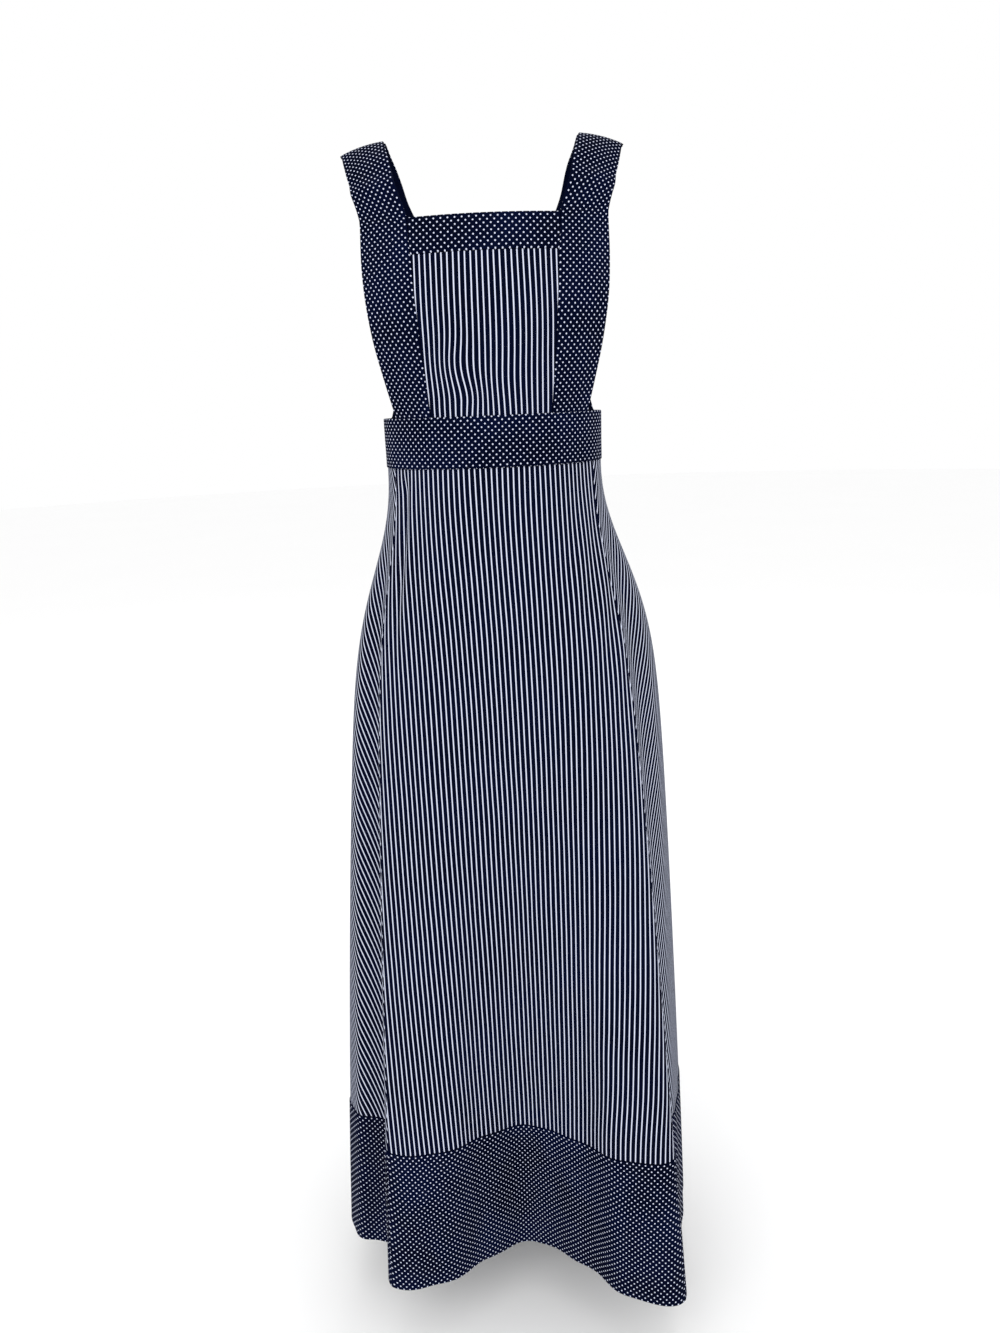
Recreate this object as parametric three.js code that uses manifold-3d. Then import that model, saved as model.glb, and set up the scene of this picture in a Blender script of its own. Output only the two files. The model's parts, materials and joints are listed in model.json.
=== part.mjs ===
// A full-length pinafore apron in navy cotton, as it hangs when worn.
// Pin-striped bib panel and skirt; pin-dotted straps, waistband and hem band.
// Millimetres, +Z up. The front faces -Y and the wearer's left is +X.
// The origin lies midway between the two shoulder tops, where the straps rest.
import * as THREE from "three";
import { mergeVertices } from "three/addons/utils/BufferGeometryUtils.js";
import Module from "manifold-3d";

// ---- Driving dimensions ----
const SHOULDER_TO_WAIST = 310; // shoulder top down to the middle of the waist
const WAIST_TO_HEM = 1060;
const WAIST_HALF_WIDTH = 124.5;
const WAIST_HALF_DEPTH = 91.5;
const BUST_GROWTH = 35; // how much wider the chest is than the waist, each side
const HEM_HALF_WIDTH = 237;
const SHOULDER_BACK = 10; // the shoulder line lies this far behind the waist's centre

const WAISTBAND_HEIGHT = 56;
const WAISTBAND_TOP = 23; // above the middle of the waist
const HEM_BAND_HEIGHT = 185;
const TOP_BAND_HEIGHT = 38;
const NECKLINE_HEIGHT = 226; // neckline above the middle of the waist
const NECK_HALF_WIDTH = 80;
const BIB_PANEL_HALF_BOTTOM = 66;
const BIB_HALF_BOTTOM = 106;
const BIB_HALF_TOP = 132;
const STRAP_WIDTH = 52;

const PANEL_CLOTH = 1.2; // one layer of cotton with its turned seams
const LINING_CLOTH = 0.8;
const BAND_CLOTH = 2.4; // folded and interfaced
const STRAP_CLOTH = 1.4;
const SEAM_GAP = 0.3; // between pieces that meet edge to edge
const LAYER_GAP = 0.5; // between pieces that lie on each other

const BUTTON_RADIUS = 9;
const BUTTON_THICKNESS = 3;
const SHANK_RADIUS = 1.8;
const WINDOW_CLEARANCE = 2.2; // between a button's rim and the hole that clears it
const STRAP_SLIP = 4.5; // a strap leaves its button straight back, not square to it
const BACK_GAP_ANGLE = 3; // the skirt's back edges stop this many degrees short of centre
const SIDE_BACK_ANGLE = 150; // where side meets back panel, from the front centre
const UNDERLAP_ANGLE = 16; // waistband ends pass the centre back by this much
const STRAP_END_ANGLE = 129; // where a strap is buttoned, from the front centre
const STRAP_END_DROP = 26; // a strap's end lies this far below the middle of the waist

const COLOURS = {
  stripe: 0x1a2140,
  dot: 0x1d2648,
  lining: 0x151a33,
  button: 0xd9d4c6,
  thread: 0x10142b,
};

// ---- Small helpers ----
const wasm = await Module();
wasm.setup();
const rad = THREE.MathUtils.degToRad;
const smoothstep = THREE.MathUtils.smoothstep;
const vec = (x, y, z) => new THREE.Vector3(x, y, z);
const steps = (from, to, count) =>
  Array.from({ length: count + 1 }, (_, i) => from + ((to - from) * i) / count);

const apron = new THREE.Group();
apron.name = "apron";
// The shape is drawn about the middle of the waist, then hung from the shoulders.
apron.position.set(0, -SHOULDER_BACK, -SHOULDER_TO_WAIST);

function addPiece(name, geometry, kind) {
  const material = new THREE.MeshStandardMaterial({
    color: COLOURS[kind],
    roughness: kind === "button" ? 0.35 : 0.92,
    metalness: 0,
  });
  const mesh = new THREE.Mesh(geometry, material);
  mesh.name = name;
  apron.add(mesh);
}

// One closed layer of cloth on surface(u, v), from offset low to offset high along its
// outward normal. us and vs are the grid lines; lift(u, v) pushes the whole layer out.
function cloth(surface, us, vs, low, high, lift = () => 0) {
  const step = 1e-3;
  const columns = us.length;
  const rows = vs.length;
  const positions = [];
  for (const side of [high, low]) {
    for (const v of vs) {
      for (const u of us) {
        const along = surface(u + step, v).sub(surface(u - step, v));
        const down = surface(u, v + step).sub(surface(u, v - step));
        const normal = along.cross(down).normalize();
        const point = surface(u, v).addScaledVector(normal, side + lift(u, v));
        positions.push(point.x, point.y, point.z);
      }
    }
  }
  const at = (layer, row, column) => layer * rows * columns + row * columns + column;
  const faces = [];
  const quad = (a, b, c, d) => faces.push(a, b, c, a, c, d);
  for (let r = 0; r < rows - 1; r++) {
    for (let c = 0; c < columns - 1; c++) {
      quad(at(0, r, c), at(0, r, c + 1), at(0, r + 1, c + 1), at(0, r + 1, c));
      quad(at(1, r, c), at(1, r + 1, c), at(1, r + 1, c + 1), at(1, r, c + 1));
    }
  }
  for (let c = 0; c < columns - 1; c++) {
    quad(at(0, 0, c), at(1, 0, c), at(1, 0, c + 1), at(0, 0, c + 1));
    const last = rows - 1;
    quad(at(0, last, c), at(0, last, c + 1), at(1, last, c + 1), at(1, last, c));
  }
  for (let r = 0; r < rows - 1; r++) {
    quad(at(0, r, 0), at(0, r + 1, 0), at(1, r + 1, 0), at(1, r, 0));
    const last = columns - 1;
    quad(at(0, r, last), at(1, r, last), at(1, r + 1, last), at(0, r + 1, last));
  }
  const geometry = new THREE.BufferGeometry();
  geometry.setAttribute("position", new THREE.Float32BufferAttribute(positions, 3));
  geometry.setIndex(faces);
  return facingOut(geometry);
}

function facingOut(geometry) {
  const position = geometry.getAttribute("position");
  const index = geometry.getIndex().array;
  const corner = (i) => new THREE.Vector3().fromBufferAttribute(position, index[i]);
  let volume = 0;
  for (let i = 0; i < index.length; i += 3) {
    volume += corner(i).dot(corner(i + 1).cross(corner(i + 2)));
  }
  if (volume < 0) {
    for (let i = 0; i < index.length; i += 3) {
      [index[i + 1], index[i + 2]] = [index[i + 2], index[i + 1]];
    }
  }
  geometry.computeVertexNormals();
  return geometry;
}

function toSolid(geometry) {
  const bare = geometry.clone();
  bare.deleteAttribute("normal");
  bare.deleteAttribute("uv");
  const merged = mergeVertices(bare, 1e-4);
  const vertProperties = merged.getAttribute("position").array;
  const triVerts = new Uint32Array(merged.getIndex().array);
  return new wasm.Manifold(new wasm.Mesh({ numProp: 3, vertProperties, triVerts }));
}

function toGeometry(solid) {
  const mesh = solid.getMesh();
  const geometry = new THREE.BufferGeometry();
  const positions = new THREE.BufferAttribute(mesh.vertProperties, 3);
  geometry.setAttribute("position", positions);
  geometry.setIndex(new THREE.BufferAttribute(mesh.triVerts, 1));
  geometry.computeVertexNormals();
  return geometry;
}

// A smooth curve of height through a few [height, value] pairs, constant below the first.
function profile(pairs) {
  const slope = (i) => {
    const before = pairs[Math.max(i - 1, 0)];
    const after = pairs[Math.min(i + 1, pairs.length - 1)];
    return (after[1] - before[1]) / (after[0] - before[0]);
  };
  return (asked) => {
    const height = Math.max(asked, pairs[0][0]);
    let i = 0;
    while (i < pairs.length - 2 && height > pairs[i + 1][0]) i++;
    const [h0, v0] = pairs[i];
    const [h1, v1] = pairs[i + 1];
    const span = h1 - h0;
    const t = (height - h0) / span;
    const t2 = t * t;
    const t3 = t2 * t;
    const start = (2 * t3 - 3 * t2 + 1) * v0 + (t3 - 2 * t2 + t) * span * slope(i);
    return start + (3 * t2 - 2 * t3) * v1 + (t3 - t2) * span * slope(i + 1);
  };
}

// ---- The worn shape above the waist ----
const waistbandBottom = WAISTBAND_TOP - WAISTBAND_HEIGHT;
const bustHeight = 0.57 * NECKLINE_HEIGHT;

function chestHalfWidth(z) {
  const share = (z - WAISTBAND_TOP) / (0.6 * (NECKLINE_HEIGHT - WAISTBAND_TOP));
  const rise = THREE.MathUtils.clamp(share, 0, 1);
  return WAIST_HALF_WIDTH + BUST_GROWTH * Math.sin((rise * Math.PI) / 2);
}
const chestFront = profile([
  [WAISTBAND_TOP, WAIST_HALF_DEPTH],
  [0.45 * bustHeight, WAIST_HALF_DEPTH + 9],
  [bustHeight, WAIST_HALF_DEPTH + 26],
  [NECKLINE_HEIGHT - 42, WAIST_HALF_DEPTH + 12],
  [NECKLINE_HEIGHT, WAIST_HALF_DEPTH - 7],
]);
const chestBack = profile([
  [WAISTBAND_TOP, WAIST_HALF_DEPTH],
  [0.5 * NECKLINE_HEIGHT, WAIST_HALF_DEPTH + 8],
  [0.85 * NECKLINE_HEIGHT, WAIST_HALF_DEPTH + 6],
  [NECKLINE_HEIGHT, WAIST_HALF_DEPTH],
]);

// A point on the torso at an angle from the front centre, positive toward the left. It is
// an upright oval through the waistband's height and widens above it.
function torso(angle, z) {
  const depth = Math.cos(rad(angle)) > 0 ? chestFront(z) : chestBack(z);
  const x = chestHalfWidth(z) * Math.sin(rad(angle));
  return vec(x, -depth * Math.cos(rad(angle)), z);
}
// The same surface, reached by the distance from the centre line instead.
function chestAt(x, z) {
  const angle = THREE.MathUtils.radToDeg(Math.asin(x / chestHalfWidth(z)));
  return torso(angle, z);
}

// Half widths of the striped bib panel and of the whole bib at a height.
function panelEdge(z) {
  const share = (z - WAISTBAND_TOP) / (NECKLINE_HEIGHT - WAISTBAND_TOP);
  return THREE.MathUtils.lerp(BIB_PANEL_HALF_BOTTOM, NECK_HALF_WIDTH, share);
}
function bibEdge(z) {
  const share = (z - WAISTBAND_TOP) / (0.85 * (NECKLINE_HEIGHT - WAISTBAND_TOP));
  const reach = Math.sin((Math.min(share, 1) * Math.PI) / 2);
  return THREE.MathUtils.lerp(BIB_HALF_BOTTOM, BIB_HALF_TOP, reach);
}

// ---- Bib ----
const liningOut = LINING_CLOTH;
const bibIn = liningOut + LAYER_GAP;
const topBandBottom = NECKLINE_HEIGHT - TOP_BAND_HEIGHT;
// The bib leans out from the waistband, so its lower edge needs a little more room.
const bibBottom = WAISTBAND_TOP + SEAM_GAP + 2 * LAYER_GAP;

const panelRows = steps(topBandBottom - SEAM_GAP, bibBottom, 9);
const topBandRows = steps(NECKLINE_HEIGHT, topBandBottom, 2);
const bibRows = [...topBandRows.slice(0, -1), ...panelRows];

const acrossPanel = (share, z) => chestAt(share * (panelEdge(z) - SEAM_GAP), z);
const acrossBib = (share, z) => chestAt(share * (bibEdge(z) - SEAM_GAP), z);
addPiece(
  "bib_panel",
  cloth(acrossPanel, steps(-1, 1, 12), panelRows, bibIn, bibIn + PANEL_CLOTH),
  "stripe",
);
addPiece(
  "bib_top_band",
  cloth(acrossPanel, steps(-1, 1, 12), topBandRows, bibIn, bibIn + BAND_CLOTH),
  "dot",
);
addPiece(
  "bib_lining",
  cloth(
    acrossBib,
    steps(-1, 1, 20),
    bibRows,
    0,
    LINING_CLOTH,
  ),
  "lining",
);

// ---- Shoulder bands: up the bib's sides and on to the shoulder tops ----
// Rows above the neckline run from an inner to an outer edge point, on the left side.
const shoulderLift = SHOULDER_TO_WAIST - NECKLINE_HEIGHT;
const shoulderRise = (share) => NECKLINE_HEIGHT + share * shoulderLift;
const shoulderBack = (start, share) => THREE.MathUtils.lerp(start.y, SHOULDER_BACK, share);
const neckInner = chestAt(NECK_HALF_WIDTH, NECKLINE_HEIGHT);
const neckOuter = chestAt(BIB_HALF_TOP, NECKLINE_HEIGHT);
const innerEdge = new THREE.CatmullRomCurve3([
  chestAt(panelEdge(topBandBottom), topBandBottom),
  neckInner,
  vec(NECK_HALF_WIDTH + 11, shoulderBack(neckInner, 0.12), shoulderRise(0.42)),
  vec(NECK_HALF_WIDTH + 21, shoulderBack(neckInner, 0.51), shoulderRise(0.85)),
  vec(NECK_HALF_WIDTH + 28, SHOULDER_BACK, shoulderRise(1.07)),
  vec(NECK_HALF_WIDTH + 30, SHOULDER_BACK + 40, shoulderRise(0.87)),
]);
const outerEdge = new THREE.CatmullRomCurve3([
  chestAt(bibEdge(topBandBottom), topBandBottom),
  neckOuter,
  vec(BIB_HALF_TOP + 8, shoulderBack(neckOuter, 0.2), shoulderRise(0.36)),
  vec(BIB_HALF_TOP + 17, shoulderBack(neckOuter, 0.6), shoulderRise(0.72)),
  vec(BIB_HALF_TOP + 23, SHOULDER_BACK, shoulderRise(0.93)),
  vec(BIB_HALF_TOP + 25, SHOULDER_BACK + 40, shoulderRise(0.73)),
]);
const SHOULDER_KNOT = 4 / 5; // where both edges pass the shoulder top
const NECK_KNOT = 1 / 5;
const bulge = 2; // a strap's middle stands out from its edges by this much

function shoulderRow(across, along) {
  const inner = innerEdge.getPoint(along);
  const outer = outerEdge.getPoint(along);
  const next = innerEdge.getPoint(along + 0.01).sub(innerEdge.getPoint(along - 0.01));
  const outward = next.cross(outer.clone().sub(inner)).normalize().negate();
  const point = inner.lerp(outer, across);
  return point.addScaledVector(outward, 4 * bulge * across * (1 - across));
}
// Along the band: below 0 on the chest (height measured from the neckline), above 0 on
// the shoulder, reaching the shoulder top at 1.
function shoulderBand(across, along) {
  if (along <= 0) {
    const z = NECKLINE_HEIGHT + along * (NECKLINE_HEIGHT - bibBottom);
    const x = THREE.MathUtils.lerp(panelEdge(z), bibEdge(z), across);
    return chestAt(x, z);
  }
  return shoulderRow(across, NECK_KNOT + along * (SHOULDER_KNOT - NECK_KNOT));
}
const belowNeck = (z) => (z - NECKLINE_HEIGHT) / (NECKLINE_HEIGHT - bibBottom);
const overShoulder = steps(1, 0, 8).slice(0, -1);
const shoulderRows = [...overShoulder, ...bibRows.map(belowNeck)];
const facingRows = [...overShoulder, 0.04]; // it stops short of the bib's lining

// ---- Back straps: from the shoulder tops across the back to the waistband ----
const facingOut0 = LINING_CLOTH;
const bandIn = facingOut0 + LAYER_GAP;
const bandOut = bandIn + BAND_CLOTH;
const strapEndX = WAIST_HALF_WIDTH * Math.sin(rad(STRAP_END_ANGLE));
const shoulderMiddle = (NECK_HALF_WIDTH + 28 + BIB_HALF_TOP + 23) / 2;

// Past the body's side the cloth carries straight on at the depth of the side.
function backAt(x, z) {
  const sine = THREE.MathUtils.clamp(x / chestHalfWidth(z), -1, 1);
  const angle = 180 - THREE.MathUtils.radToDeg(Math.asin(sine));
  return torso(angle, z);
}
const strapRoute = new THREE.CatmullRomCurve3([
  vec(shoulderMiddle, SHOULDER_BACK - 34, shoulderRise(0.82)),
  vec(shoulderMiddle, SHOULDER_BACK, shoulderRise(1)),
  vec(shoulderMiddle - 4, SHOULDER_BACK + 36, shoulderRise(0.86)),
  backAt(shoulderMiddle - 22, NECKLINE_HEIGHT + 22),
  backAt(shoulderMiddle - 60, 0.87 * NECKLINE_HEIGHT),
  backAt(0, 0.58 * NECKLINE_HEIGHT),
  backAt(-0.7 * strapEndX, 0.34 * NECKLINE_HEIGHT),
  backAt(-strapEndX, WAISTBAND_TOP + 6),
  backAt(-strapEndX, -STRAP_END_DROP - 30),
]);
const STRAP_TOP = 1 / 8;
const STRAP_BOTTOM = 7.45 / 8;
const strapNormal = (point) => {
  const a = chestHalfWidth(point.z);
  const b = chestBack(point.z);
  const level = vec(point.x / (a * a), point.y / (b * b), 0).normalize();
  const rise = smoothstep(point.z, NECKLINE_HEIGHT - 20, SHOULDER_TO_WAIST);
  return level.multiplyScalar(1 - rise).add(vec(0, 0, rise)).normalize();
};
// From the shoulder seam at along 0 to the buttoned end at 1. The strap is arched over the
// shoulder and lies flat to the back below the neckline's height.
function backStrap(across, along) {
  const knot = THREE.MathUtils.lerp(STRAP_TOP, STRAP_BOTTOM, along);
  const point = strapRoute.getPoint(knot);
  const ahead = strapRoute.getPoint(knot + 0.005);
  const tangent = ahead.sub(strapRoute.getPoint(knot - 0.005)).normalize();
  const sideways = tangent.clone().cross(strapNormal(point)).normalize();
  const seamLine = vec(1, 0, -0.22).normalize();
  sideways.lerp(seamLine, 1 - smoothstep(along, 0, 0.12)).normalize();
  const outward = tangent.clone().cross(sideways).normalize();
  if (outward.dot(strapNormal(point)) < 0) outward.negate();
  const lying = 1 - smoothstep(point.z, NECKLINE_HEIGHT - 30, NECKLINE_HEIGHT + 20);
  const arch = 4 * bulge * across * (1 - across) * (1 - lying);
  point.addScaledVector(sideways, (across - 0.5) * STRAP_WIDTH);
  point.addScaledVector(outward, arch);
  point.y = THREE.MathUtils.lerp(point.y, backAt(point.x, point.z).y, lying);
  return point;
}

// Everything that comes as a left and right pair is drawn on the left and mirrored.
const mirrored = (surface) => (u, v) => {
  const point = surface(u, v);
  point.x = -point.x;
  return point;
};
const flip = (side) => (side === "left" ? 1 : -1);
// cloth() offsets along u cross v, so a mirrored surface runs its offsets the other way.
function pairCloth(side, surface, us, vs, low, high, lift = () => 0) {
  if (side === "left") return cloth(surface, us, vs, low, high, lift);
  const turned = (u, v) => -lift(u, v);
  return cloth(mirrored(surface), us, vs, -low, -high, turned);
}

for (const side of ["left", "right"]) {
  const across = steps(0.006, 1, 5);
  addPiece(
    "shoulder_band_" + side,
    pairCloth(side, shoulderBand, across, shoulderRows, bibIn, bibIn + BAND_CLOTH),
    "dot",
  );
  addPiece(
    "shoulder_facing_" + side,
    pairCloth(side, shoulderBand, across, facingRows, 0, LINING_CLOTH),
    "lining",
  );
}

// ---- Waistband ----
const waistRows = steps(WAISTBAND_TOP, waistbandBottom, 2);
const hingeInset = 0.15; // degrees between fixed and swinging waistband ends
addPiece(
  "waistband_front",
  cloth(
    torso,
    steps(-SIDE_BACK_ANGLE + hingeInset, SIDE_BACK_ANGLE - hingeInset, 56),
    waistRows,
    bandIn,
    bandOut,
  ),
  "dot",
);
addPiece(
  "waistband_facing_front",
  cloth(
    torso,
    steps(-SIDE_BACK_ANGLE + hingeInset, SIDE_BACK_ANGLE - hingeInset, 56),
    waistRows,
    0,
    facingOut0,
  ),
  "lining",
);

// The left waistband end laps over the right one at the centre back.
const lapStep = BAND_CLOTH + 1.5 * LAYER_GAP;
const lapLift = (angle) =>
  lapStep * smoothstep(angle, SIDE_BACK_ANGLE + 2, 180 - UNDERLAP_ANGLE - 3);
const overEnd = 180 + UNDERLAP_ANGLE;
const overBand = cloth(
  torso,
  steps(SIDE_BACK_ANGLE + hingeInset, overEnd, 10),
  waistRows,
  bandIn,
  bandOut,
  lapLift,
);
const underEnd = -180 - UNDERLAP_ANGLE;
addPiece(
  "waistband_back_right",
  cloth(
    torso,
    steps(underEnd, -SIDE_BACK_ANGLE - hingeInset, 10),
    waistRows,
    bandIn,
    bandOut,
  ),
  "dot",
);
addPiece(
  "waistband_facing_back_right",
  cloth(
    torso,
    steps(underEnd, -SIDE_BACK_ANGLE - hingeInset, 10),
    waistRows,
    0,
    facingOut0,
  ),
  "lining",
);
addPiece(
  "waistband_facing_back_left",
  cloth(
    torso,
    steps(SIDE_BACK_ANGLE + hingeInset, 180 - UNDERLAP_ANGLE - 1, 3),
    waistRows,
    0,
    facingOut0,
  ),
  "lining",
);

// ---- Skirt ----
// Knots run round the skirt from the front centre toward the left. Each has its place on
// the waist as an angle, its place on the hem, and how early it spreads sideways on the way
// down: 1 keeps an even slope, and less spreads over the hips.
const frontRecess = { angle: 0, hem: [16, -123], early: 0.55, deep: true };
const leftKnots = [
  { angle: 16, hem: [72, -161], early: 1 },
  { angle: 38, hem: [126, -209], early: 0.6 },
  { angle: 64, hem: [198, -222], early: 0.62 },
  { angle: 74, hem: [196, -150], early: 0.5 },
  { angle: 84, hem: [HEM_HALF_WIDTH - 22, -100], early: 0.33 },
  { angle: 96, hem: [HEM_HALF_WIDTH - 13, -40], early: 0.28 },
  { angle: 120, hem: [HEM_HALF_WIDTH - 29, 70], early: 0.28 },
  { angle: SIDE_BACK_ANGLE, hem: [140, 150], early: 1 },
  { angle: 165, hem: [78, 166], early: 1 },
  { angle: 180 - BACK_GAP_ANGLE, hem: [24, 172], early: 1 },
];
// The right side hangs wider, with a deeper fold tucked behind the front panel's edge.
const rightHems = [
  { hem: [-49, -150], early: 1 },
  { hem: [-113, -185], early: 0.55 },
  { hem: [-172, -191], early: 0.45 },
  { hem: [-174, -124], early: 0.45 },
  { hem: [-HEM_HALF_WIDTH + 15, -112], early: 0.46 },
  { hem: [-HEM_HALF_WIDTH, -70], early: 0.46 },
  { hem: [-HEM_HALF_WIDTH + 20, 60], early: 0.46 },
];
const rightKnots = leftKnots.map((knot, i) => {
  const own = rightHems[i] ?? { hem: [-knot.hem[0], knot.hem[1]], early: knot.early };
  return { angle: -knot.angle, ...own };
});
const knots = [frontRecess, ...leftKnots, ...rightKnots.reverse()];
const FOLD = 3.07; // the knot of the front panel's edge, just round the fold
const SEAM = 8; // the knot of the side-back seam
const BACK_EDGE = 10; // the knot of the skirt's open back edge

const HIP_START = 0.13; // the share of the fall over which the skirt leaves the waist

function spread(early, fall) {
  if (early === 1) return fall;
  const ease = 1 - Math.exp(-Math.pow(Math.max(fall, 0) / HIP_START, 2));
  return Math.pow(Math.max(fall, 0), early) * ease;
}
function skirtRing(z) {
  const fall = (waistbandBottom - z) / (WAIST_TO_HEM + waistbandBottom);
  const points = knots.map((knot) => {
    const top = torso(knot.angle, waistbandBottom);
    const sideways = spread(knot.early, fall);
    const forward = knot.deep ? sideways : fall;
    const x = THREE.MathUtils.lerp(top.x, knot.hem[0], sideways);
    const y = THREE.MathUtils.lerp(top.y, knot.hem[1], forward);
    return vec(x, y, z);
  });
  return new THREE.CatmullRomCurve3(points, true);
}
const rings = new Map();
function skirt(knot, z) {
  const key = z.toFixed(4);
  if (!rings.has(key)) rings.set(key, skirtRing(z));
  return rings.get(key).getPoint(THREE.MathUtils.euclideanModulo(knot / knots.length, 1));
}

const hemTop = -WAIST_TO_HEM + HEM_BAND_HEIGHT;
// The skirt leans out from the waistband, so its upper edge needs a little more room.
const skirtTop = waistbandBottom - SEAM_GAP - LAYER_GAP / 2;
// Rows crowd toward the waist, where the skirt spreads fastest.
const skirtRows = steps(0, 1, 12).map((share) =>
  THREE.MathUtils.lerp(skirtTop, hemTop + SEAM_GAP, Math.pow(share, 1.5)),
);
const hemRows = steps(hemTop, -WAIST_TO_HEM, 3);
const seamInset = 0.012; // knots between neighbouring panels

// Each vertical panel has a hem band below it.
function skirtPair(panelName, hemName, from, to, count) {
  const us = steps(from + seamInset, to - seamInset, count);
  addPiece(panelName, cloth(skirt, us, skirtRows, bandIn, bandIn + PANEL_CLOTH), "stripe");
  addPiece(hemName, cloth(skirt, us, hemRows, bandIn, bandIn + BAND_CLOTH), "dot");
}
skirtPair("skirt_front_panel", "hem_band_front", -FOLD, FOLD, 30);
skirtPair("skirt_side_panel_left", "hem_band_side_left", FOLD, SEAM, 20);
skirtPair("skirt_side_panel_right", "hem_band_side_right", -SEAM, -FOLD, 20);
skirtPair("skirt_back_panel_left", "hem_band_back_left", SEAM, BACK_EDGE, 6);
skirtPair("skirt_back_panel_right", "hem_band_back_right", -BACK_EDGE, -SEAM, 6);

// A facing strip backs each open edge of the skirt.
const facingKnots = 0.55;
for (const side of ["left", "right"]) {
  const edge = flip(side) * (BACK_EDGE - seamInset);
  const inner = flip(side) * (BACK_EDGE - facingKnots);
  const us = steps(Math.min(edge, inner), Math.max(edge, inner), 3);
  const rows = steps(skirtTop, -WAIST_TO_HEM, 12);
  addPiece(
    "back_edge_facing_" + side,
    cloth(skirt, us, rows, 0, LINING_CLOTH),
    "lining",
  );
}

// ---- Buttons and buttonholes ----
// A button stands on its shank on the waistband. The cloth that is buttoned over it has a
// square window, filled by a stitched patch with the buttonhole in it.
const windowSide = 2 * (BUTTON_RADIUS + WINDOW_CLEARANCE);
const holeLength = 2 * BUTTON_RADIUS + 1;
const holeWidth = 2 * (SHANK_RADIUS + LAYER_GAP);

// A block centred on the torso surface at an angle and height, facing outward.
function blockAt(angle, z, width, height, depth) {
  const geometry = new THREE.BoxGeometry(width, depth, height);
  return placeOnTorso(geometry, angle, z, 0);
}
function placeOnTorso(geometry, angle, z, out) {
  const point = torso(angle, z);
  const along = torso(angle + 0.1, z).sub(torso(angle - 0.1, z)).normalize();
  const outward = along.clone().cross(vec(0, 0, 1)).normalize();
  const basis = new THREE.Matrix4().makeBasis(along, outward.clone().negate(), vec(0, 0, 1));
  basis.setPosition(point.addScaledVector(outward, out));
  return geometry.applyMatrix4(basis);
}
// The window round a button, smaller by inset all round and longer by slip toward the side.
function windowBlock(angle, z, inset, slip) {
  const width = windowSide + slip - 2 * inset;
  const block = blockAt(angle, z, width, windowSide - 2 * inset, 40);
  const along = torso(angle, z).sub(torso(angle + 1, z)).setLength(slip / 2);
  block.translate(along.x * Math.sign(angle), along.y * Math.sign(angle), 0);
  return toSolid(block);
}
function openWindow(geometry, angle, z, slip) {
  return toGeometry(toSolid(geometry).subtract(windowBlock(angle, z, 0, slip)));
}
function buttonholePatch(geometry, angle, z, slip, acrossHole) {
  const patch = toSolid(geometry).intersect(windowBlock(angle, z, SEAM_GAP, slip));
  const [width, height] = acrossHole ? [holeLength, holeWidth] : [holeWidth, holeLength];
  return toGeometry(patch.subtract(toSolid(blockAt(angle, z, width, height, 60))));
}
// base is the offset of the cloth the button is sewn to; cover what is buttoned over it.
function addButton(buttonName, shankName, angle, z, base, cover) {
  const shankLength = cover - base + LAYER_GAP;
  const shank = new THREE.CylinderGeometry(SHANK_RADIUS, SHANK_RADIUS, shankLength, 10);
  const middle = base + SEAM_GAP + shankLength / 2;
  addPiece(shankName, placeOnTorso(shank, angle, z, middle), "thread");
  const rim = BUTTON_RADIUS;
  const under = base + 2 * SEAM_GAP + shankLength;
  const outline = [
    [0, 0],
    [rim - 1, 0],
    [rim, 1],
    [rim, BUTTON_THICKNESS - 0.8],
    [rim - 0.8, BUTTON_THICKNESS],
    [rim - 2.2, BUTTON_THICKNESS],
    [rim - 3.4, BUTTON_THICKNESS - 0.9],
    [0, BUTTON_THICKNESS - 0.9],
  ];
  const profilePoints = outline.map(([r, h]) => new THREE.Vector2(r, h));
  const disc = toSolid(new THREE.LatheGeometry(profilePoints, 28));
  let drilled = disc;
  for (const [x, z0] of [[-1, -1], [1, -1], [1, 1], [-1, 1]]) {
    const hole = new THREE.CylinderGeometry(0.9, 0.9, 3 * BUTTON_THICKNESS, 8);
    hole.translate(1.7 * x, 0, 1.7 * z0);
    drilled = drilled.subtract(toSolid(hole));
  }
  const turned = toGeometry(drilled).applyMatrix4(new THREE.Matrix4().makeRotationX(Math.PI));
  addPiece(buttonName, placeOnTorso(turned, angle, z, under), "button");
}

const waistMiddle = (WAISTBAND_TOP + waistbandBottom) / 2;
const overButtonAngle = 180 + 0.35 * UNDERLAP_ANGLE;
addPiece("waistband_back_left", openWindow(overBand, overButtonAngle, waistMiddle, 0), "dot");
addPiece(
  "waist_buttonhole",
  buttonholePatch(overBand, overButtonAngle, waistMiddle, 0, true),
  "thread",
);
addButton(
  "waist_button",
  "waist_button_shank",
  overButtonAngle,
  waistMiddle,
  bandOut,
  bandOut + lapStep,
);

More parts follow.
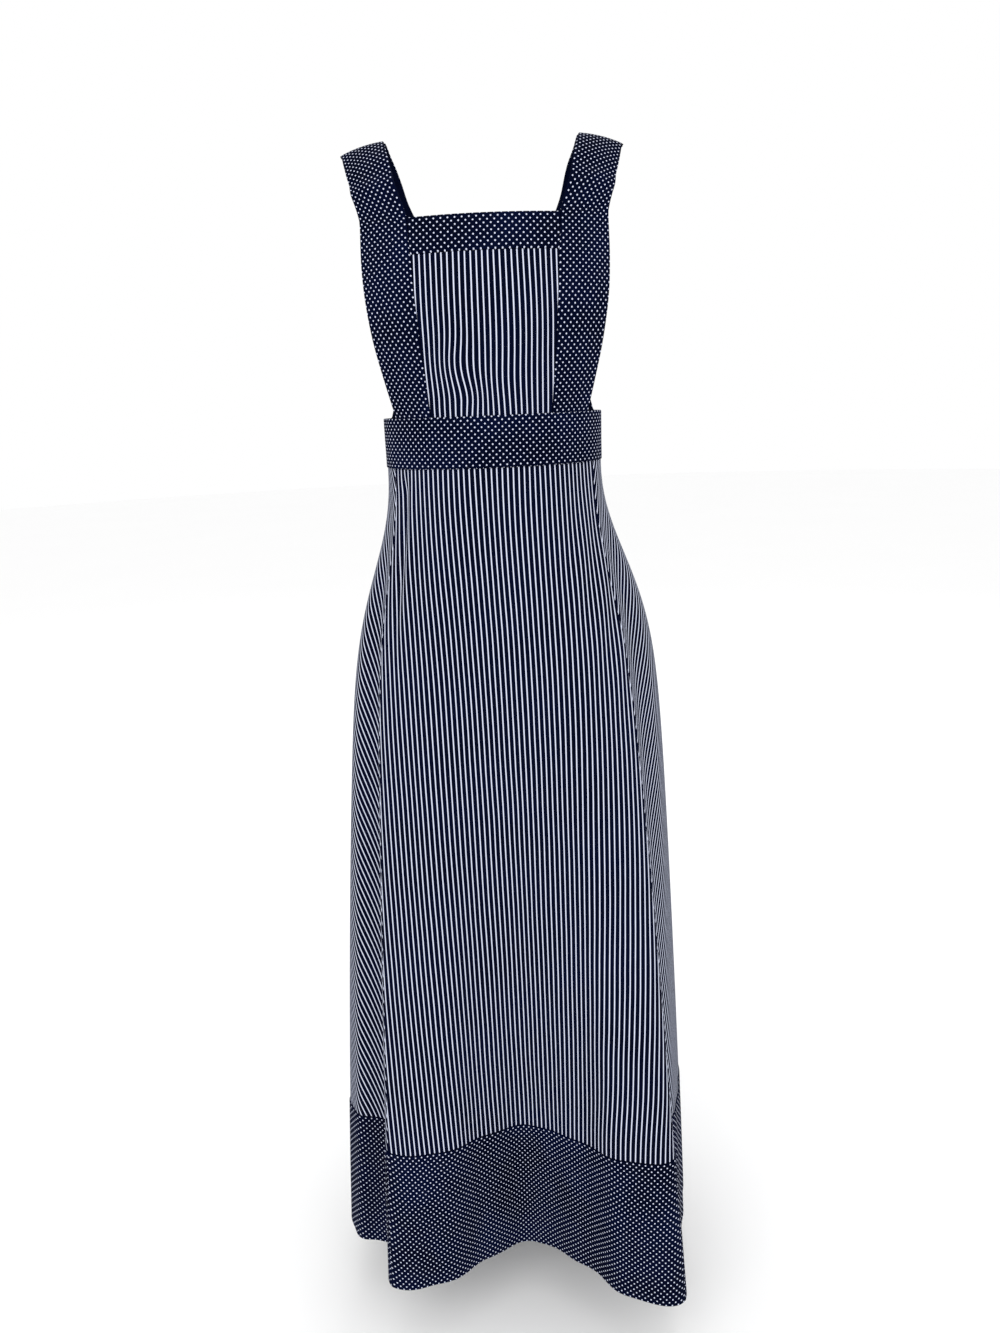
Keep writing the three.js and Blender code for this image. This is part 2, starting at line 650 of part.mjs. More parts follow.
// The right strap lies on the back; the left strap crosses over it.
const strapOut = STRAP_CLOTH + LAYER_GAP + LINING_CLOTH;
const strapLayers = { right: 0, left: strapOut + LAYER_GAP };
const strapRest = bandOut + LAYER_GAP;
for (const side of ["left", "right"]) {
  const lift = (across, along) => {
    const crossed = strapLayers[side] * smoothstep(along, 0.05, 0.35);
    const clear = strapRest * smoothstep(along, 0.03, 0.2);
    return clear + crossed * (1 - smoothstep(along, 0.78, 0.92));
  };
  const rows = steps(0.004, 1, 26);
  const columns = steps(0, 1, Math.ceil(STRAP_WIDTH / 8)); // close enough for the curved waist
  const inner = LINING_CLOTH;
  const outer = LINING_CLOTH + LAYER_GAP;
  const facing = pairCloth(side, backStrap, columns, rows, 0, inner, lift);
  const face = pairCloth(side, backStrap, columns, rows, outer, outer + STRAP_CLOTH, lift);
  const angle = -flip(side) * STRAP_END_ANGLE;
  const opened = (geometry) => openWindow(geometry, angle, waistMiddle, STRAP_SLIP);
  addPiece("back_strap_facing_" + side, opened(facing), "lining");
  addPiece("back_strap_" + side, opened(face), "dot");
  const patch = buttonholePatch(face, angle, waistMiddle, STRAP_SLIP, false);
  addPiece("strap_buttonhole_" + side, patch, "thread");
  addButton(
    "strap_button_" + side,
    "strap_button_shank_" + side,
    angle,
    waistMiddle,
    bandOut,
    strapRest + strapOut,
  );
}

export default apron;
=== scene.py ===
"""A full-length navy apron, pin-striped and pin-dotted, dressed round its CAD frame.

Shapes are worked out in millimetres about the middle of the waist, as in the CAD, and every
mesh is written in metres in the frame's own place. The front faces -Y and the wearer's left
is +X. Each piece of cloth is one closed sheet with rounded, turned edges and a texture map
called "cloth", which holds the distance across and along the cut cloth in metres.
"""

import json
import math

import bpy
import numpy as np
from mathutils import Matrix, Vector


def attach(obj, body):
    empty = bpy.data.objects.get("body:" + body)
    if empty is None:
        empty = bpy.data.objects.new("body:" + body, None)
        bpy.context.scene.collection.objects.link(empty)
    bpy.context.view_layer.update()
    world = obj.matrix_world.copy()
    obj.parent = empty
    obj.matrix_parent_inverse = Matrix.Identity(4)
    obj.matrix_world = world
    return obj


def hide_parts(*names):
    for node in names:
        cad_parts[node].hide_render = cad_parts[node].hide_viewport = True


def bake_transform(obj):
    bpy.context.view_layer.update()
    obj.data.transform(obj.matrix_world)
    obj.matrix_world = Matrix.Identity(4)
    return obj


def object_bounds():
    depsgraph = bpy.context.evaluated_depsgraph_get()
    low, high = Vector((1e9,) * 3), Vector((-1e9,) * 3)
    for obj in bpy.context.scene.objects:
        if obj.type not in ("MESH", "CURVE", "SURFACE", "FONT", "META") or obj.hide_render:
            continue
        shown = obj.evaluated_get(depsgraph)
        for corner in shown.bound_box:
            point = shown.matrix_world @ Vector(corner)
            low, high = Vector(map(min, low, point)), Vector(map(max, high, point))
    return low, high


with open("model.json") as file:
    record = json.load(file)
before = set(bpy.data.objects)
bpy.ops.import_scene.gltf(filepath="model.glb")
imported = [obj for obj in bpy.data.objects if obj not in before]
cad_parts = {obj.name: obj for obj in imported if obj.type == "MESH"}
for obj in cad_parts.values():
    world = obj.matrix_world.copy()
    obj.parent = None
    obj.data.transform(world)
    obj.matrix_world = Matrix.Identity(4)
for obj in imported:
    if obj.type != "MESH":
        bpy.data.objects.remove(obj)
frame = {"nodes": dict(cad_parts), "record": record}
cad_low, cad_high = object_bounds()
scene = bpy.context.scene

# ---- Camera ----
CAMERA_PLACE = Vector((0.011, -1.185, -0.2705))
CAMERA_ROLL, CAMERA_TILT, CAMERA_YAW = (math.radians(a) for a in (2.4, 15.5, 0.7))


def camera_turn():
    ahead = Vector(
        (
            -math.sin(CAMERA_YAW) * math.cos(CAMERA_TILT),
            math.cos(CAMERA_YAW) * math.cos(CAMERA_TILT),
            -math.sin(CAMERA_TILT),
        )
    )
    level = Vector((math.cos(CAMERA_YAW), math.sin(CAMERA_YAW), 0))
    down = ahead.cross(level)
    right = math.cos(CAMERA_ROLL) * level + math.sin(CAMERA_ROLL) * down
    up = math.sin(CAMERA_ROLL) * level - math.cos(CAMERA_ROLL) * down
    return Matrix((right, up, -ahead)).transposed()


camera = bpy.data.objects.new("camera", bpy.data.cameras.new("camera"))
camera.data.lens = 26
camera.data.sensor_width = 36
camera.location = CAMERA_PLACE
camera.rotation_mode = "QUATERNION"
camera.rotation_quaternion = camera_turn().to_quaternion()
scene.collection.objects.link(camera)
scene.camera = camera

# ---- Sizes, as in the CAD (millimetres, degrees) ----
SHOULDER_TO_WAIST = 310
WAIST_TO_HEM = 1060
WAIST_HALF_WIDTH = 124.5
WAIST_HALF_DEPTH = 91.5
BUST_GROWTH = 35
HEM_HALF_WIDTH = 237
SHOULDER_BACK = 10
WAISTBAND_HEIGHT = 56
WAISTBAND_TOP = 23
HEM_BAND_HEIGHT = 185
TOP_BAND_HEIGHT = 38
NECKLINE_HEIGHT = 226
NECK_HALF_WIDTH = 80
BIB_PANEL_HALF_BOTTOM = 66
BIB_HALF_BOTTOM = 106
BIB_HALF_TOP = 132
STRAP_WIDTH = 52
PANEL_CLOTH = 1.2
LINING_CLOTH = 0.8
BAND_CLOTH = 2.4
STRAP_CLOTH = 1.4
LAYER_GAP = 0.5
BUTTON_RADIUS = 9
BUTTON_THICKNESS = 3
SHANK_RADIUS = 1.8
BACK_GAP_ANGLE = 3
SIDE_BACK_ANGLE = 150
UNDERLAP_ANGLE = 16
STRAP_END_ANGLE = 129
STRAP_END_DROP = 26

STRIPE_PITCH = 0.006  # metres, as the materials use it
DOT_PITCH = 0.0074

MM = 0.001
waistband_bottom = WAISTBAND_TOP - WAISTBAND_HEIGHT
waist_middle = (WAISTBAND_TOP + waistband_bottom) / 2
bust_height = 0.57 * NECKLINE_HEIGHT
hem_top = -WAIST_TO_HEM + HEM_BAND_HEIGHT
bib_in = LINING_CLOTH + LAYER_GAP
band_in = bib_in
band_out = band_in + BAND_CLOTH


# ---- Curves and surfaces ----
def vec(x, y, z):
    return np.stack(np.broadcast_arrays(x, y, z), -1).astype(float)


def lerp(a, b, t):
    return a + (b - a) * t


def smooth(x, low, high):
    t = np.clip((x - low) / (high - low), 0, 1)
    return t * t * (3 - 2 * t)


def unit(v):
    return v / np.linalg.norm(v, axis=-1, keepdims=True)


def profile(pairs):
    """A smooth curve of height through [height, value] pairs, constant below the first."""
    heights, values = np.array(pairs, float).T
    last = len(pairs) - 1
    before = np.maximum(np.arange(last + 1) - 1, 0)
    after = np.minimum(np.arange(last + 1) + 1, last)
    slopes = (values[after] - values[before]) / (heights[after] - heights[before])

    def value(asked):
        h = np.maximum(asked, heights[0])
        i = np.clip(np.searchsorted(heights, h, side="left") - 1, 0, last - 1)
        span = heights[i + 1] - heights[i]
        t = (h - heights[i]) / span
        start = (2 * t**3 - 3 * t**2 + 1) * values[i] + (t**3 - 2 * t**2 + t) * span * slopes[i]
        end = (3 * t**2 - 2 * t**3) * values[i + 1] + (t**3 - t**2) * span * slopes[i + 1]
        return start + end

    return value


def spline(points, t, closed=False):
    """The centripetal Catmull-Rom curve through points (..., n, 3) at the shares t (k,)."""
    n = points.shape[-2]
    if closed:
        place = np.mod(t, 1) * n
        i = np.minimum(np.floor(place).astype(int), n - 1)
        p = [points[..., (i + k) % n, :] for k in (-1, 0, 1, 2)]
    else:
        place = t * (n - 1)
        i = np.clip(np.floor(place).astype(int), 0, n - 2)
        head = 2 * points[..., :1, :] - points[..., 1:2, :]
        tail = 2 * points[..., -1:, :] - points[..., -2:-1, :]
        longer = np.concatenate([head, points, tail], -2)
        p = [longer[..., i + k, :] for k in range(4)]
    w = (place - i)[..., None]
    gaps = [np.sqrt(np.linalg.norm(p[k + 1] - p[k], axis=-1, keepdims=True)) for k in range(3)]
    slope1 = (p[1] - p[0]) / gaps[0] - (p[2] - p[0]) / (gaps[0] + gaps[1]) + (p[2] - p[1]) / gaps[1]
    slope2 = (p[2] - p[1]) / gaps[1] - (p[3] - p[1]) / (gaps[1] + gaps[2]) + (p[3] - p[2]) / gaps[2]
    slope1, slope2 = slope1 * gaps[1], slope2 * gaps[1]
    curve2 = 3 * (p[2] - p[1]) - 2 * slope1 - slope2
    curve3 = 2 * (p[1] - p[2]) + slope1 + slope2
    return p[1] + slope1 * w + curve2 * w**2 + curve3 * w**3


def chest_half_width(z):
    share = np.clip((z - WAISTBAND_TOP) / (0.6 * (NECKLINE_HEIGHT - WAISTBAND_TOP)), 0, 1)
    return WAIST_HALF_WIDTH + BUST_GROWTH * np.sin(share * math.pi / 2)


chest_front = profile(
    [
        [WAISTBAND_TOP, WAIST_HALF_DEPTH],
        [0.45 * bust_height, WAIST_HALF_DEPTH + 9],
        [bust_height, WAIST_HALF_DEPTH + 26],
        [NECKLINE_HEIGHT - 42, WAIST_HALF_DEPTH + 12],
        [NECKLINE_HEIGHT, WAIST_HALF_DEPTH - 7],
    ]
)
chest_back = profile(
    [
        [WAISTBAND_TOP, WAIST_HALF_DEPTH],
        [0.5 * NECKLINE_HEIGHT, WAIST_HALF_DEPTH + 8],
        [0.85 * NECKLINE_HEIGHT, WAIST_HALF_DEPTH + 6],
        [NECKLINE_HEIGHT, WAIST_HALF_DEPTH],
    ]
)


def torso_at(angle, z):
    """The body's surface at an angle from the front centre (degrees) and a height."""
    a = np.radians(angle)
    depth = np.where(np.cos(a) > 0, chest_front(z), chest_back(z))
    return vec(chest_half_width(z) * np.sin(a), -depth * np.cos(a), z)


def chest_at(x, z):
    return torso_at(np.degrees(np.arcsin(np.clip(x / chest_half_width(z), -1, 1))), z)


def back_at(x, z):
    return torso_at(180 - np.degrees(np.arcsin(np.clip(x / chest_half_width(z), -1, 1))), z)


def panel_edge(z):
    share = (z - WAISTBAND_TOP) / (NECKLINE_HEIGHT - WAISTBAND_TOP)
    return lerp(BIB_PANEL_HALF_BOTTOM, NECK_HALF_WIDTH, share)


def bib_edge(z):
    share = (z - WAISTBAND_TOP) / (0.85 * (NECKLINE_HEIGHT - WAISTBAND_TOP))
    return lerp(BIB_HALF_BOTTOM, BIB_HALF_TOP, np.sin(np.minimum(share, 1) * math.pi / 2))


# A surface takes the grid's lines us (columns) and vs (rows) and gives points [row, column].
def torso(us, vs):
    return torso_at(us[None, :], vs[:, None])


def across_panel(us, vs):
    z = vs[:, None]
    return chest_at(us[None, :] * panel_edge(z), z)


def across_bib(us, vs):
    z = vs[:, None]
    return chest_at(us[None, :] * bib_edge(z), z)


def shoulder_rise(share):
    return NECKLINE_HEIGHT + share * (SHOULDER_TO_WAIST - NECKLINE_HEIGHT)


def shoulder_back(start, share):
    return lerp(start[1], SHOULDER_BACK, share)


top_band_bottom = NECKLINE_HEIGHT - TOP_BAND_HEIGHT
neck_inner = chest_at(NECK_HALF_WIDTH, NECKLINE_HEIGHT)
neck_outer = chest_at(BIB_HALF_TOP, NECKLINE_HEIGHT)
inner_edge = np.array(
    [
        chest_at(panel_edge(top_band_bottom), top_band_bottom),
        neck_inner,
        [NECK_HALF_WIDTH + 11, shoulder_back(neck_inner, 0.12), shoulder_rise(0.42)],
        [NECK_HALF_WIDTH + 21, shoulder_back(neck_inner, 0.51), shoulder_rise(0.85)],
        [NECK_HALF_WIDTH + 28, SHOULDER_BACK, shoulder_rise(1.07)],
        [NECK_HALF_WIDTH + 30, SHOULDER_BACK + 40, shoulder_rise(0.87)],
    ]
)
outer_edge = np.array(
    [
        chest_at(bib_edge(top_band_bottom), top_band_bottom),
        neck_outer,
        [BIB_HALF_TOP + 8, shoulder_back(neck_outer, 0.2), shoulder_rise(0.36)],
        [BIB_HALF_TOP + 17, shoulder_back(neck_outer, 0.6), shoulder_rise(0.72)],
        [BIB_HALF_TOP + 23, SHOULDER_BACK, shoulder_rise(0.93)],
        [BIB_HALF_TOP + 25, SHOULDER_BACK + 40, shoulder_rise(0.73)],
    ]
)
SHOULDER_KNOT, NECK_KNOT = 4 / 5, 1 / 5
STRAP_BULGE = 2


def shoulder_band(us, vs):
    """us runs from the inner to the outer edge; vs is -1 at the bib's foot, 0 at the
    neckline and 1 at the shoulder top."""
    across = us[None, :, None]
    z = (NECKLINE_HEIGHT + np.minimum(vs, 0) * (NECKLINE_HEIGHT - WAISTBAND_TOP))[:, None]
    chest = chest_at(lerp(panel_edge(z), bib_edge(z), us[None, :]), z)
    t = NECK_KNOT + np.maximum(vs, 0) * (SHOULDER_KNOT - NECK_KNOT)
    inner, outer = spline(inner_edge, t), spline(outer_edge, t)
    ahead = spline(inner_edge, t + 0.01) - spline(inner_edge, t - 0.01)
    outward = -unit(np.cross(ahead, outer - inner))[:, None, :]
    over = lerp(inner[:, None], outer[:, None], across)
    over = over + outward * 4 * STRAP_BULGE * across * (1 - across)
    return np.where(vs[:, None, None] <= 0, chest, over)


strap_end_x = WAIST_HALF_WIDTH * math.sin(math.radians(STRAP_END_ANGLE))
shoulder_middle = (NECK_HALF_WIDTH + 28 + BIB_HALF_TOP + 23) / 2
strap_route = np.array(
    [
        [shoulder_middle, SHOULDER_BACK - 34, shoulder_rise(0.82)],
        [shoulder_middle, SHOULDER_BACK, shoulder_rise(1)],
        [shoulder_middle - 4, SHOULDER_BACK + 36, shoulder_rise(0.86)],
        back_at(shoulder_middle - 22, NECKLINE_HEIGHT + 22),
        back_at(shoulder_middle - 60, 0.87 * NECKLINE_HEIGHT),
        back_at(0, 0.58 * NECKLINE_HEIGHT),
        back_at(-0.7 * strap_end_x, 0.34 * NECKLINE_HEIGHT),
        back_at(-strap_end_x, WAISTBAND_TOP + 6),
        back_at(-strap_end_x, -STRAP_END_DROP - 30),
    ]
)
STRAP_TOP, STRAP_BOTTOM = 1 / 8, 7.45 / 8


def strap_normal(point):
    a, b = chest_half_width(point[:, 2]), chest_back(point[:, 2])
    level = unit(vec(point[:, 0] / a**2, point[:, 1] / b**2, 0 * a))
    rise = smooth(point[:, 2], NECKLINE_HEIGHT - 20, SHOULDER_TO_WAIST)[:, None]
    return unit(level * (1 - rise) + np.array([0, 0, 1]) * rise)


def back_strap(us, vs):
    """us runs across the strap; vs is 0 at the shoulder top and 1 at the buttoned end."""
    knot = lerp(STRAP_TOP, STRAP_BOTTOM, vs)
    point = spline(strap_route, knot)
    tangent = unit(spline(strap_route, knot + 0.005) - spline(strap_route, knot - 0.005))
    normal = strap_normal(point)
    sideways = unit(np.cross(tangent, normal))
    seam_line = unit(np.array([1, 0, -0.22]))
    sideways = unit(lerp(sideways, seam_line, (1 - smooth(vs, 0, 0.12))[:, None]))
    outward = unit(np.cross(tangent, sideways))
    outward = outward * np.where((outward * normal).sum(-1) < 0, -1, 1)[:, None]
    lying = 1 - smooth(point[:, 2], NECKLINE_HEIGHT - 30, NECKLINE_HEIGHT + 20)[:, None]
    across = us[None, :]
    arch = 4 * STRAP_BULGE * across * (1 - across) * (1 - lying)
    placed = point[:, None] + sideways[:, None] * ((across - 0.5) * STRAP_WIDTH)[..., None]
    placed = placed + outward[:, None] * arch[..., None]
    flat = back_at(placed[..., 0], placed[..., 2])[..., 1]
    placed[..., 1] = lerp(placed[..., 1], flat, lying)
    return placed


# Round the skirt: waist angle, hem place, and how early x spreads (1 is an even slope).
LEFT_KNOTS = [
    (16, (72, -161), 1),
    (38, (126, -209), 0.6),
    (64, (198, -222), 0.62),
    (74, (196, -150), 0.5),
    (84, (HEM_HALF_WIDTH - 22, -100), 0.33),
    (96, (HEM_HALF_WIDTH - 13, -40), 0.28),
    (120, (HEM_HALF_WIDTH - 29, 70), 0.28),
    (SIDE_BACK_ANGLE, (140, 150), 1),
    (165, (78, 166), 1),
    (180 - BACK_GAP_ANGLE, (24, 172), 1),
]
RIGHT_HEMS = [
    ((-49, -150), 1),
    ((-113, -185), 0.55),
    ((-172, -191), 0.45),
    ((-174, -124), 0.45),
    ((-HEM_HALF_WIDTH + 15, -112), 0.46),
    ((-HEM_HALF_WIDTH, -70), 0.46),
    ((-HEM_HALF_WIDTH + 20, 60), 0.46),
]
FRONT_RECESS = (0, (16, -123), 0.55)
FOLD, SEAM, BACK_EDGE = 3.07, 8, 10
HIP_START = 0.13  # the share of the fall over which the skirt leaves the waist


def skirt_knots():
    right = []
    for i, (angle, hem, early) in enumerate(LEFT_KNOTS):
        own = RIGHT_HEMS[i] if i < len(RIGHT_HEMS) else ((-hem[0], hem[1]), early)
        right.append((-angle, *own))
    return [FRONT_RECESS] + LEFT_KNOTS + right[::-1]


def skirt(us, vs):
    """us counts knots from the front centre toward the left; vs is the height."""
    fall = (waistband_bottom - vs) / (WAIST_TO_HEM + waistband_bottom)
    reach = np.maximum(fall, 0)
    points = []
    for angle, hem, early in skirt_knots():
        top = torso_at(angle, waistband_bottom)
        hip = reach**early * (1 - np.exp(-((reach / HIP_START) ** 2)))
        x_share = fall if early == 1 else hip
        y_share = hip if angle == 0 else fall
        points.append(vec(lerp(top[0], hem[0], x_share), lerp(top[1], hem[1], y_share), vs))
    return spline(np.stack(points, -2), us / len(points), closed=True)


# ---- Soft creases, as distances along the outward normal ----
def ridge(x, centre, width):
    return np.exp(-(((x - centre) / width) ** 2))


def skirt_creases(us, vs):
    k, z = us[None, :], vs[:, None]
    fall = np.clip((waistband_bottom - z) / (WAIST_TO_HEM + waistband_bottom), 0, 1)
    tuck = -3.2 * ridge(k, -2.62, 0.10) * smooth(fall, 0.0, 0.03) * (1 - smooth(fall, 0.1, 0.24))
    tuck += 1.6 * ridge(k, -2.42, 0.12) * smooth(fall, 0.0, 0.05) * (1 - smooth(fall, 0.12, 0.3))
    long_fold = 2.4 * np.sin(3.1 * k + 0.7) * smooth(fall, 0.15, 0.9)
    long_fold += 1.3 * np.sin(7.3 * k - 1.1 + 2.0 * fall) * smooth(fall, 0.35, 1)
    ripple = 1.1 * ridge(k, 1.9, 0.7) * smooth(fall, 0.62, 0.8) * np.sin(fall * 52 + 2.2 * k)
    hip_pull = 1.0 * ridge(k, 2.6, 0.9) * ridge(fall, 0.16, 0.1) * np.sin(9 * k + 60 * fall)
    return tuck + long_fold * smooth(fall, 0, 0.2) + ripple + hip_pull


def chest_creases(x, z):
    """Pulls in the bib: a soft S at its lower left as seen, and slanted pulls in the frame."""
    low = 2.0 * ridge(x, -34, 13) * ridge(z, 52, 30) - 1.6 * ridge(x, -14, 10) * ridge(z, 40, 26)
    mid = 0.8 * ridge(x, 22, 16) * ridge(z, 70, 34)
    slant = np.sin((x * 0.55 + z * 0.8) / 9.5)
    frame_pull = 0.7 * slant * ridge(np.abs(x), 104, 20) * ridge(z, 150, 60)
    edge_pull = -1.0 * ridge(x, -112, 14) * ridge(z, 128, 22)
    fixed = smooth(z, WAISTBAND_TOP, WAISTBAND_TOP + 22)
    return (low + mid + frame_pull + edge_pull) * fixed


# ---- Sheets ----
def lines(a, b, count, length, ends="both"):
    """count even steps from a to b, with finer ones at the ends for the rounded edge.
    length is the distance from a to b in millimetres."""
    fine = np.array([0.0, 0.12, 0.35, 0.7, 1.15]) / length
    even = np.linspace(0, 1, count + 1)
    shares = [even[(even > fine[-1] * 1.6) & (even < 1 - fine[-1] * 1.6)], fine, 1 - fine]
    return lerp(a, b, np.unique(np.round(np.concatenate(shares), 9)))


def along_rows(points):
    steps = np.linalg.norm(np.diff(points, axis=1), axis=-1)
    return np.concatenate([np.zeros((len(points), 1)), np.cumsum(steps, 1)], 1)


def along_columns(points):
    steps = np.linalg.norm(np.diff(points, axis=0), axis=-1)
    return np.concatenate([np.zeros((1, points.shape[1])), np.cumsum(steps, 0)], 0)


body_of_node = {
    node: body for body, nodes in frame["record"]["behaviour"]["bodies"].items() for node in nodes
}


def write_mesh(name, points, faces, maps, material):
    """points in waist millimetres; maps gives one (u, v) per face corner for each map."""
    mesh = bpy.data.meshes.new(name)
    placed = (points + np.array([0, -SHOULDER_BACK, -SHOULDER_TO_WAIST])) * MM
    mesh.from_pydata(placed.tolist(), [], faces.tolist() if hasattr(faces, "tolist") else faces)
    for map_name, values in maps.items():
        layer = mesh.uv_layers.new(name=map_name)
        layer.data.foreach_set("uv", values.astype(np.float32).ravel())
    mesh.polygons.foreach_set("use_smooth", [True] * len(mesh.polygons))
    mesh.materials.append(material)
    mesh.update()
    obj = bpy.data.objects.new(name, mesh)
    scene.collection.objects.link(obj)
    return obj


def sheet(
    name, surface, us, vs, low, high, cloth_map, material, slot, nodes,
    push=None, seams="", mirror=False, held="stretched", rests_on=(), cut=None, hinge=None,
    slit=None,
):
    """One closed layer of cloth on surface, from offset low to offset high along its outward
    normal. push(us, vs) moves the layer out. seams names the edges sewn to a neighbour, of
    "abtb" (start, end, top, bottom): those round down to the inner face, so that they meet."""
    step = 1e-3
    base = surface(us, vs)
    across = surface(us + step, vs) - surface(us - step, vs)
    upward = surface(us, vs + step) - surface(us, vs - step)
    normal = unit(np.cross(across, upward))
    out = push(us, vs) if push else 0.0
    layer = base + normal * np.broadcast_to(np.asarray(out, float), base.shape[:2])[..., None]

    rows, columns = base.shape[:2]
    s, t = along_rows(base), along_columns(base)
    gaps = np.stack([s, s[:, -1:] - s, t, t[-1:] - t])
    levels = np.array([0.0 if edge in seams else 0.5 for edge in ("start", "end", "top", "bottom")])
    closeness = 1 / (gaps + 0.02)
    level = (closeness * levels[:, None, None]).sum(0) / closeness.sum(0)
    thick = high - low
    radius = max(0.5 * thick, 0.7)
    inward = np.clip(gaps.min(0) / radius, 0, 1)
    rise = np.sqrt(1 - (1 - inward) ** 2)
    outer = layer + normal * (low + thick * (level + (1 - level) * rise))[..., None]
    inner = layer + normal * (low + thick * (level - level * rise))[..., None]

    index = np.arange(rows * columns).reshape(rows, columns)
    inner_index = index.copy()
    inner_index[1:-1, 1:-1] = rows * columns + np.arange((rows - 2) * (columns - 2)).reshape(
        rows - 2, columns - 2
    )
    points = np.concatenate([outer.reshape(-1, 3), inner[1:-1, 1:-1].reshape(-1, 3)])

    def quads(grid):
        return np.stack([grid[:-1, :-1], grid[:-1, 1:], grid[1:, 1:], grid[1:, :-1]], -1).reshape(-1, 4)

    down = 1 if vs[-1] < vs[0] else -1
    front, back = quads(index), quads(inner_index)
    if down > 0:
        front = front[:, ::-1]
    else:
        back = back[:, ::-1]
    if mirror:
        points[:, 0] *= -1
        front, back = front[:, ::-1], back[:, ::-1]
    faces = np.concatenate([front, back])

    cloth_u, cloth_v = cloth_map(layer, us, vs)
    if mirror:
        cloth_u = -cloth_u
    cloth_uv = np.stack([cloth_u, cloth_v], -1).reshape(-1, 2) * MM
    share_u = np.broadcast_to((np.arange(columns) / (columns - 1))[None], (rows, columns))
    wide = s.mean(0) / s.mean(0)[-1]
    tall = t.mean(1) / t.mean(1)[-1]
    bake = np.stack(np.broadcast_arrays(wide[None, :], tall[:, None]), -1).reshape(-1, 2)
    corner_front = quads(index).reshape(-1)
    corner_back = corner_front.copy()

    def corners(values, grid_faces, flipped):
        picked = values[quads(index)]
        return picked[:, ::-1] if flipped else picked

    front_flip = (down > 0) != mirror
    back_flip = not front_flip
    cloth_corners = np.concatenate(
        [corners(cloth_uv, front, front_flip), corners(cloth_uv, back, back_flip)]
    )
    margin = 0.004
    front_bake = bake * [1 - 2 * margin, 0.5 - 2 * margin] + margin
    back_bake = front_bake + [0, 0.5]
    bake_corners = np.concatenate(
        [corners(front_bake, front, front_flip), corners(back_bake, back, back_flip)]
    )
    obj = write_mesh(
        name, points, faces, {"cloth": cloth_corners, "OFBake": bake_corners}, material
    )
    obj.data.uv_layers.active = obj.data.uv_layers["cloth"]
    obj.data.uv_layers["cloth"].active_render = True

    if slit is not None:
        cut_slit(obj, *slit)
    body = body_of_node[nodes[0]]
    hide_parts(*nodes)
    if hinge:
        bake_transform(obj)
    else:
        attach(obj, body)
    return obj


# ---- Materials ----
def make_material(name):
    material = bpy.data.materials.new(name)
    material.use_nodes = True
    tree = material.node_tree
    tree.nodes.clear()
    output = tree.nodes.new("ShaderNodeOutputMaterial")
    shader = tree.nodes.new("ShaderNodeBsdfPrincipled")
    tree.links.new(shader.outputs[0], output.inputs[0])
    return material, tree, shader


def link(tree, value, socket):
    if isinstance(value, bpy.types.NodeSocket):
        tree.links.new(value, socket)
    else:
        socket.default_value = value


def calc(tree, operation, a, b=0.0, c=0.0):
    node = tree.nodes.new("ShaderNodeMath")
    node.operation = operation
    for value, socket in zip((a, b, c), node.inputs):
        link(tree, value, socket)
    return node.outputs[0]


def between(tree, value, low, high, to_low=0.0, to_high=1.0):
    node = tree.nodes.new("ShaderNodeMapRange")
    node.interpolation_type = "SMOOTHSTEP"
    for k, item in enumerate((value, low, high, to_low, to_high)):
        link(tree, item, node.inputs[k])
    return node.outputs[0]


def mixed(tree, share, a, b):
    node = tree.nodes.new("ShaderNodeMix")
    node.data_type = "RGBA"
    link(tree, share, node.inputs[0])
    link(tree, a, node.inputs[6])
    link(tree, b, node.inputs[7])
    return node.outputs[2]


def noise(tree, vector, scale, detail=2.0, roughness=0.5):
    node = tree.nodes.new("ShaderNodeTexNoise")
    link(tree, vector, node.inputs["Vector"])
    node.inputs["Scale"].default_value = scale
    node.inputs["Detail"].default_value = detail
    node.inputs["Roughness"].default_value = roughness
    return node.outputs["Fac"]


def stretched(tree, u, v, along_u, along_v):
    node = tree.nodes.new("ShaderNodeCombineXYZ")
    link(tree, calc(tree, "MULTIPLY", u, along_u), node.inputs[0])
    link(tree, calc(tree, "MULTIPLY", v, along_v), node.inputs[1])
    return node.outputs[0]


def wave(tree, value, pitch):
    """A wave from 0 to 1 that repeats every pitch metres."""
    turned = calc(tree, "SINE", calc(tree, "MULTIPLY", value, 2 * math.pi / pitch))
    return calc(tree, "MULTIPLY_ADD", turned, 0.5, 0.5)


THREAD = 0.00052  # metres from one thread to the next


def stripe_mask(tree, u, v):
    """White where u is near a multiple of the pitch; yarn by yarn its edge wanders a little."""
    wander = calc(tree, "SUBTRACT", noise(tree, stretched(tree, u, v, 400, 60), 1.0), 0.5)
    moved = calc(tree, "MULTIPLY_ADD", wander, 0.00022, u)
    sway = calc(tree, "SUBTRACT", noise(tree, stretched(tree, u, v, 14, 5), 1.0), 0.5)
    moved = calc(tree, "MULTIPLY_ADD", sway, 0.0026, moved)
    phase = calc(tree, "FRACT", calc(tree, "DIVIDE", moved, STRIPE_PITCH))
    off = calc(tree, "MULTIPLY", calc(tree, "ABSOLUTE", calc(tree, "SUBTRACT", phase, 0.5)), STRIPE_PITCH)
    return between(tree, off, 0.00060, 0.00080, 1.0, 0.0)


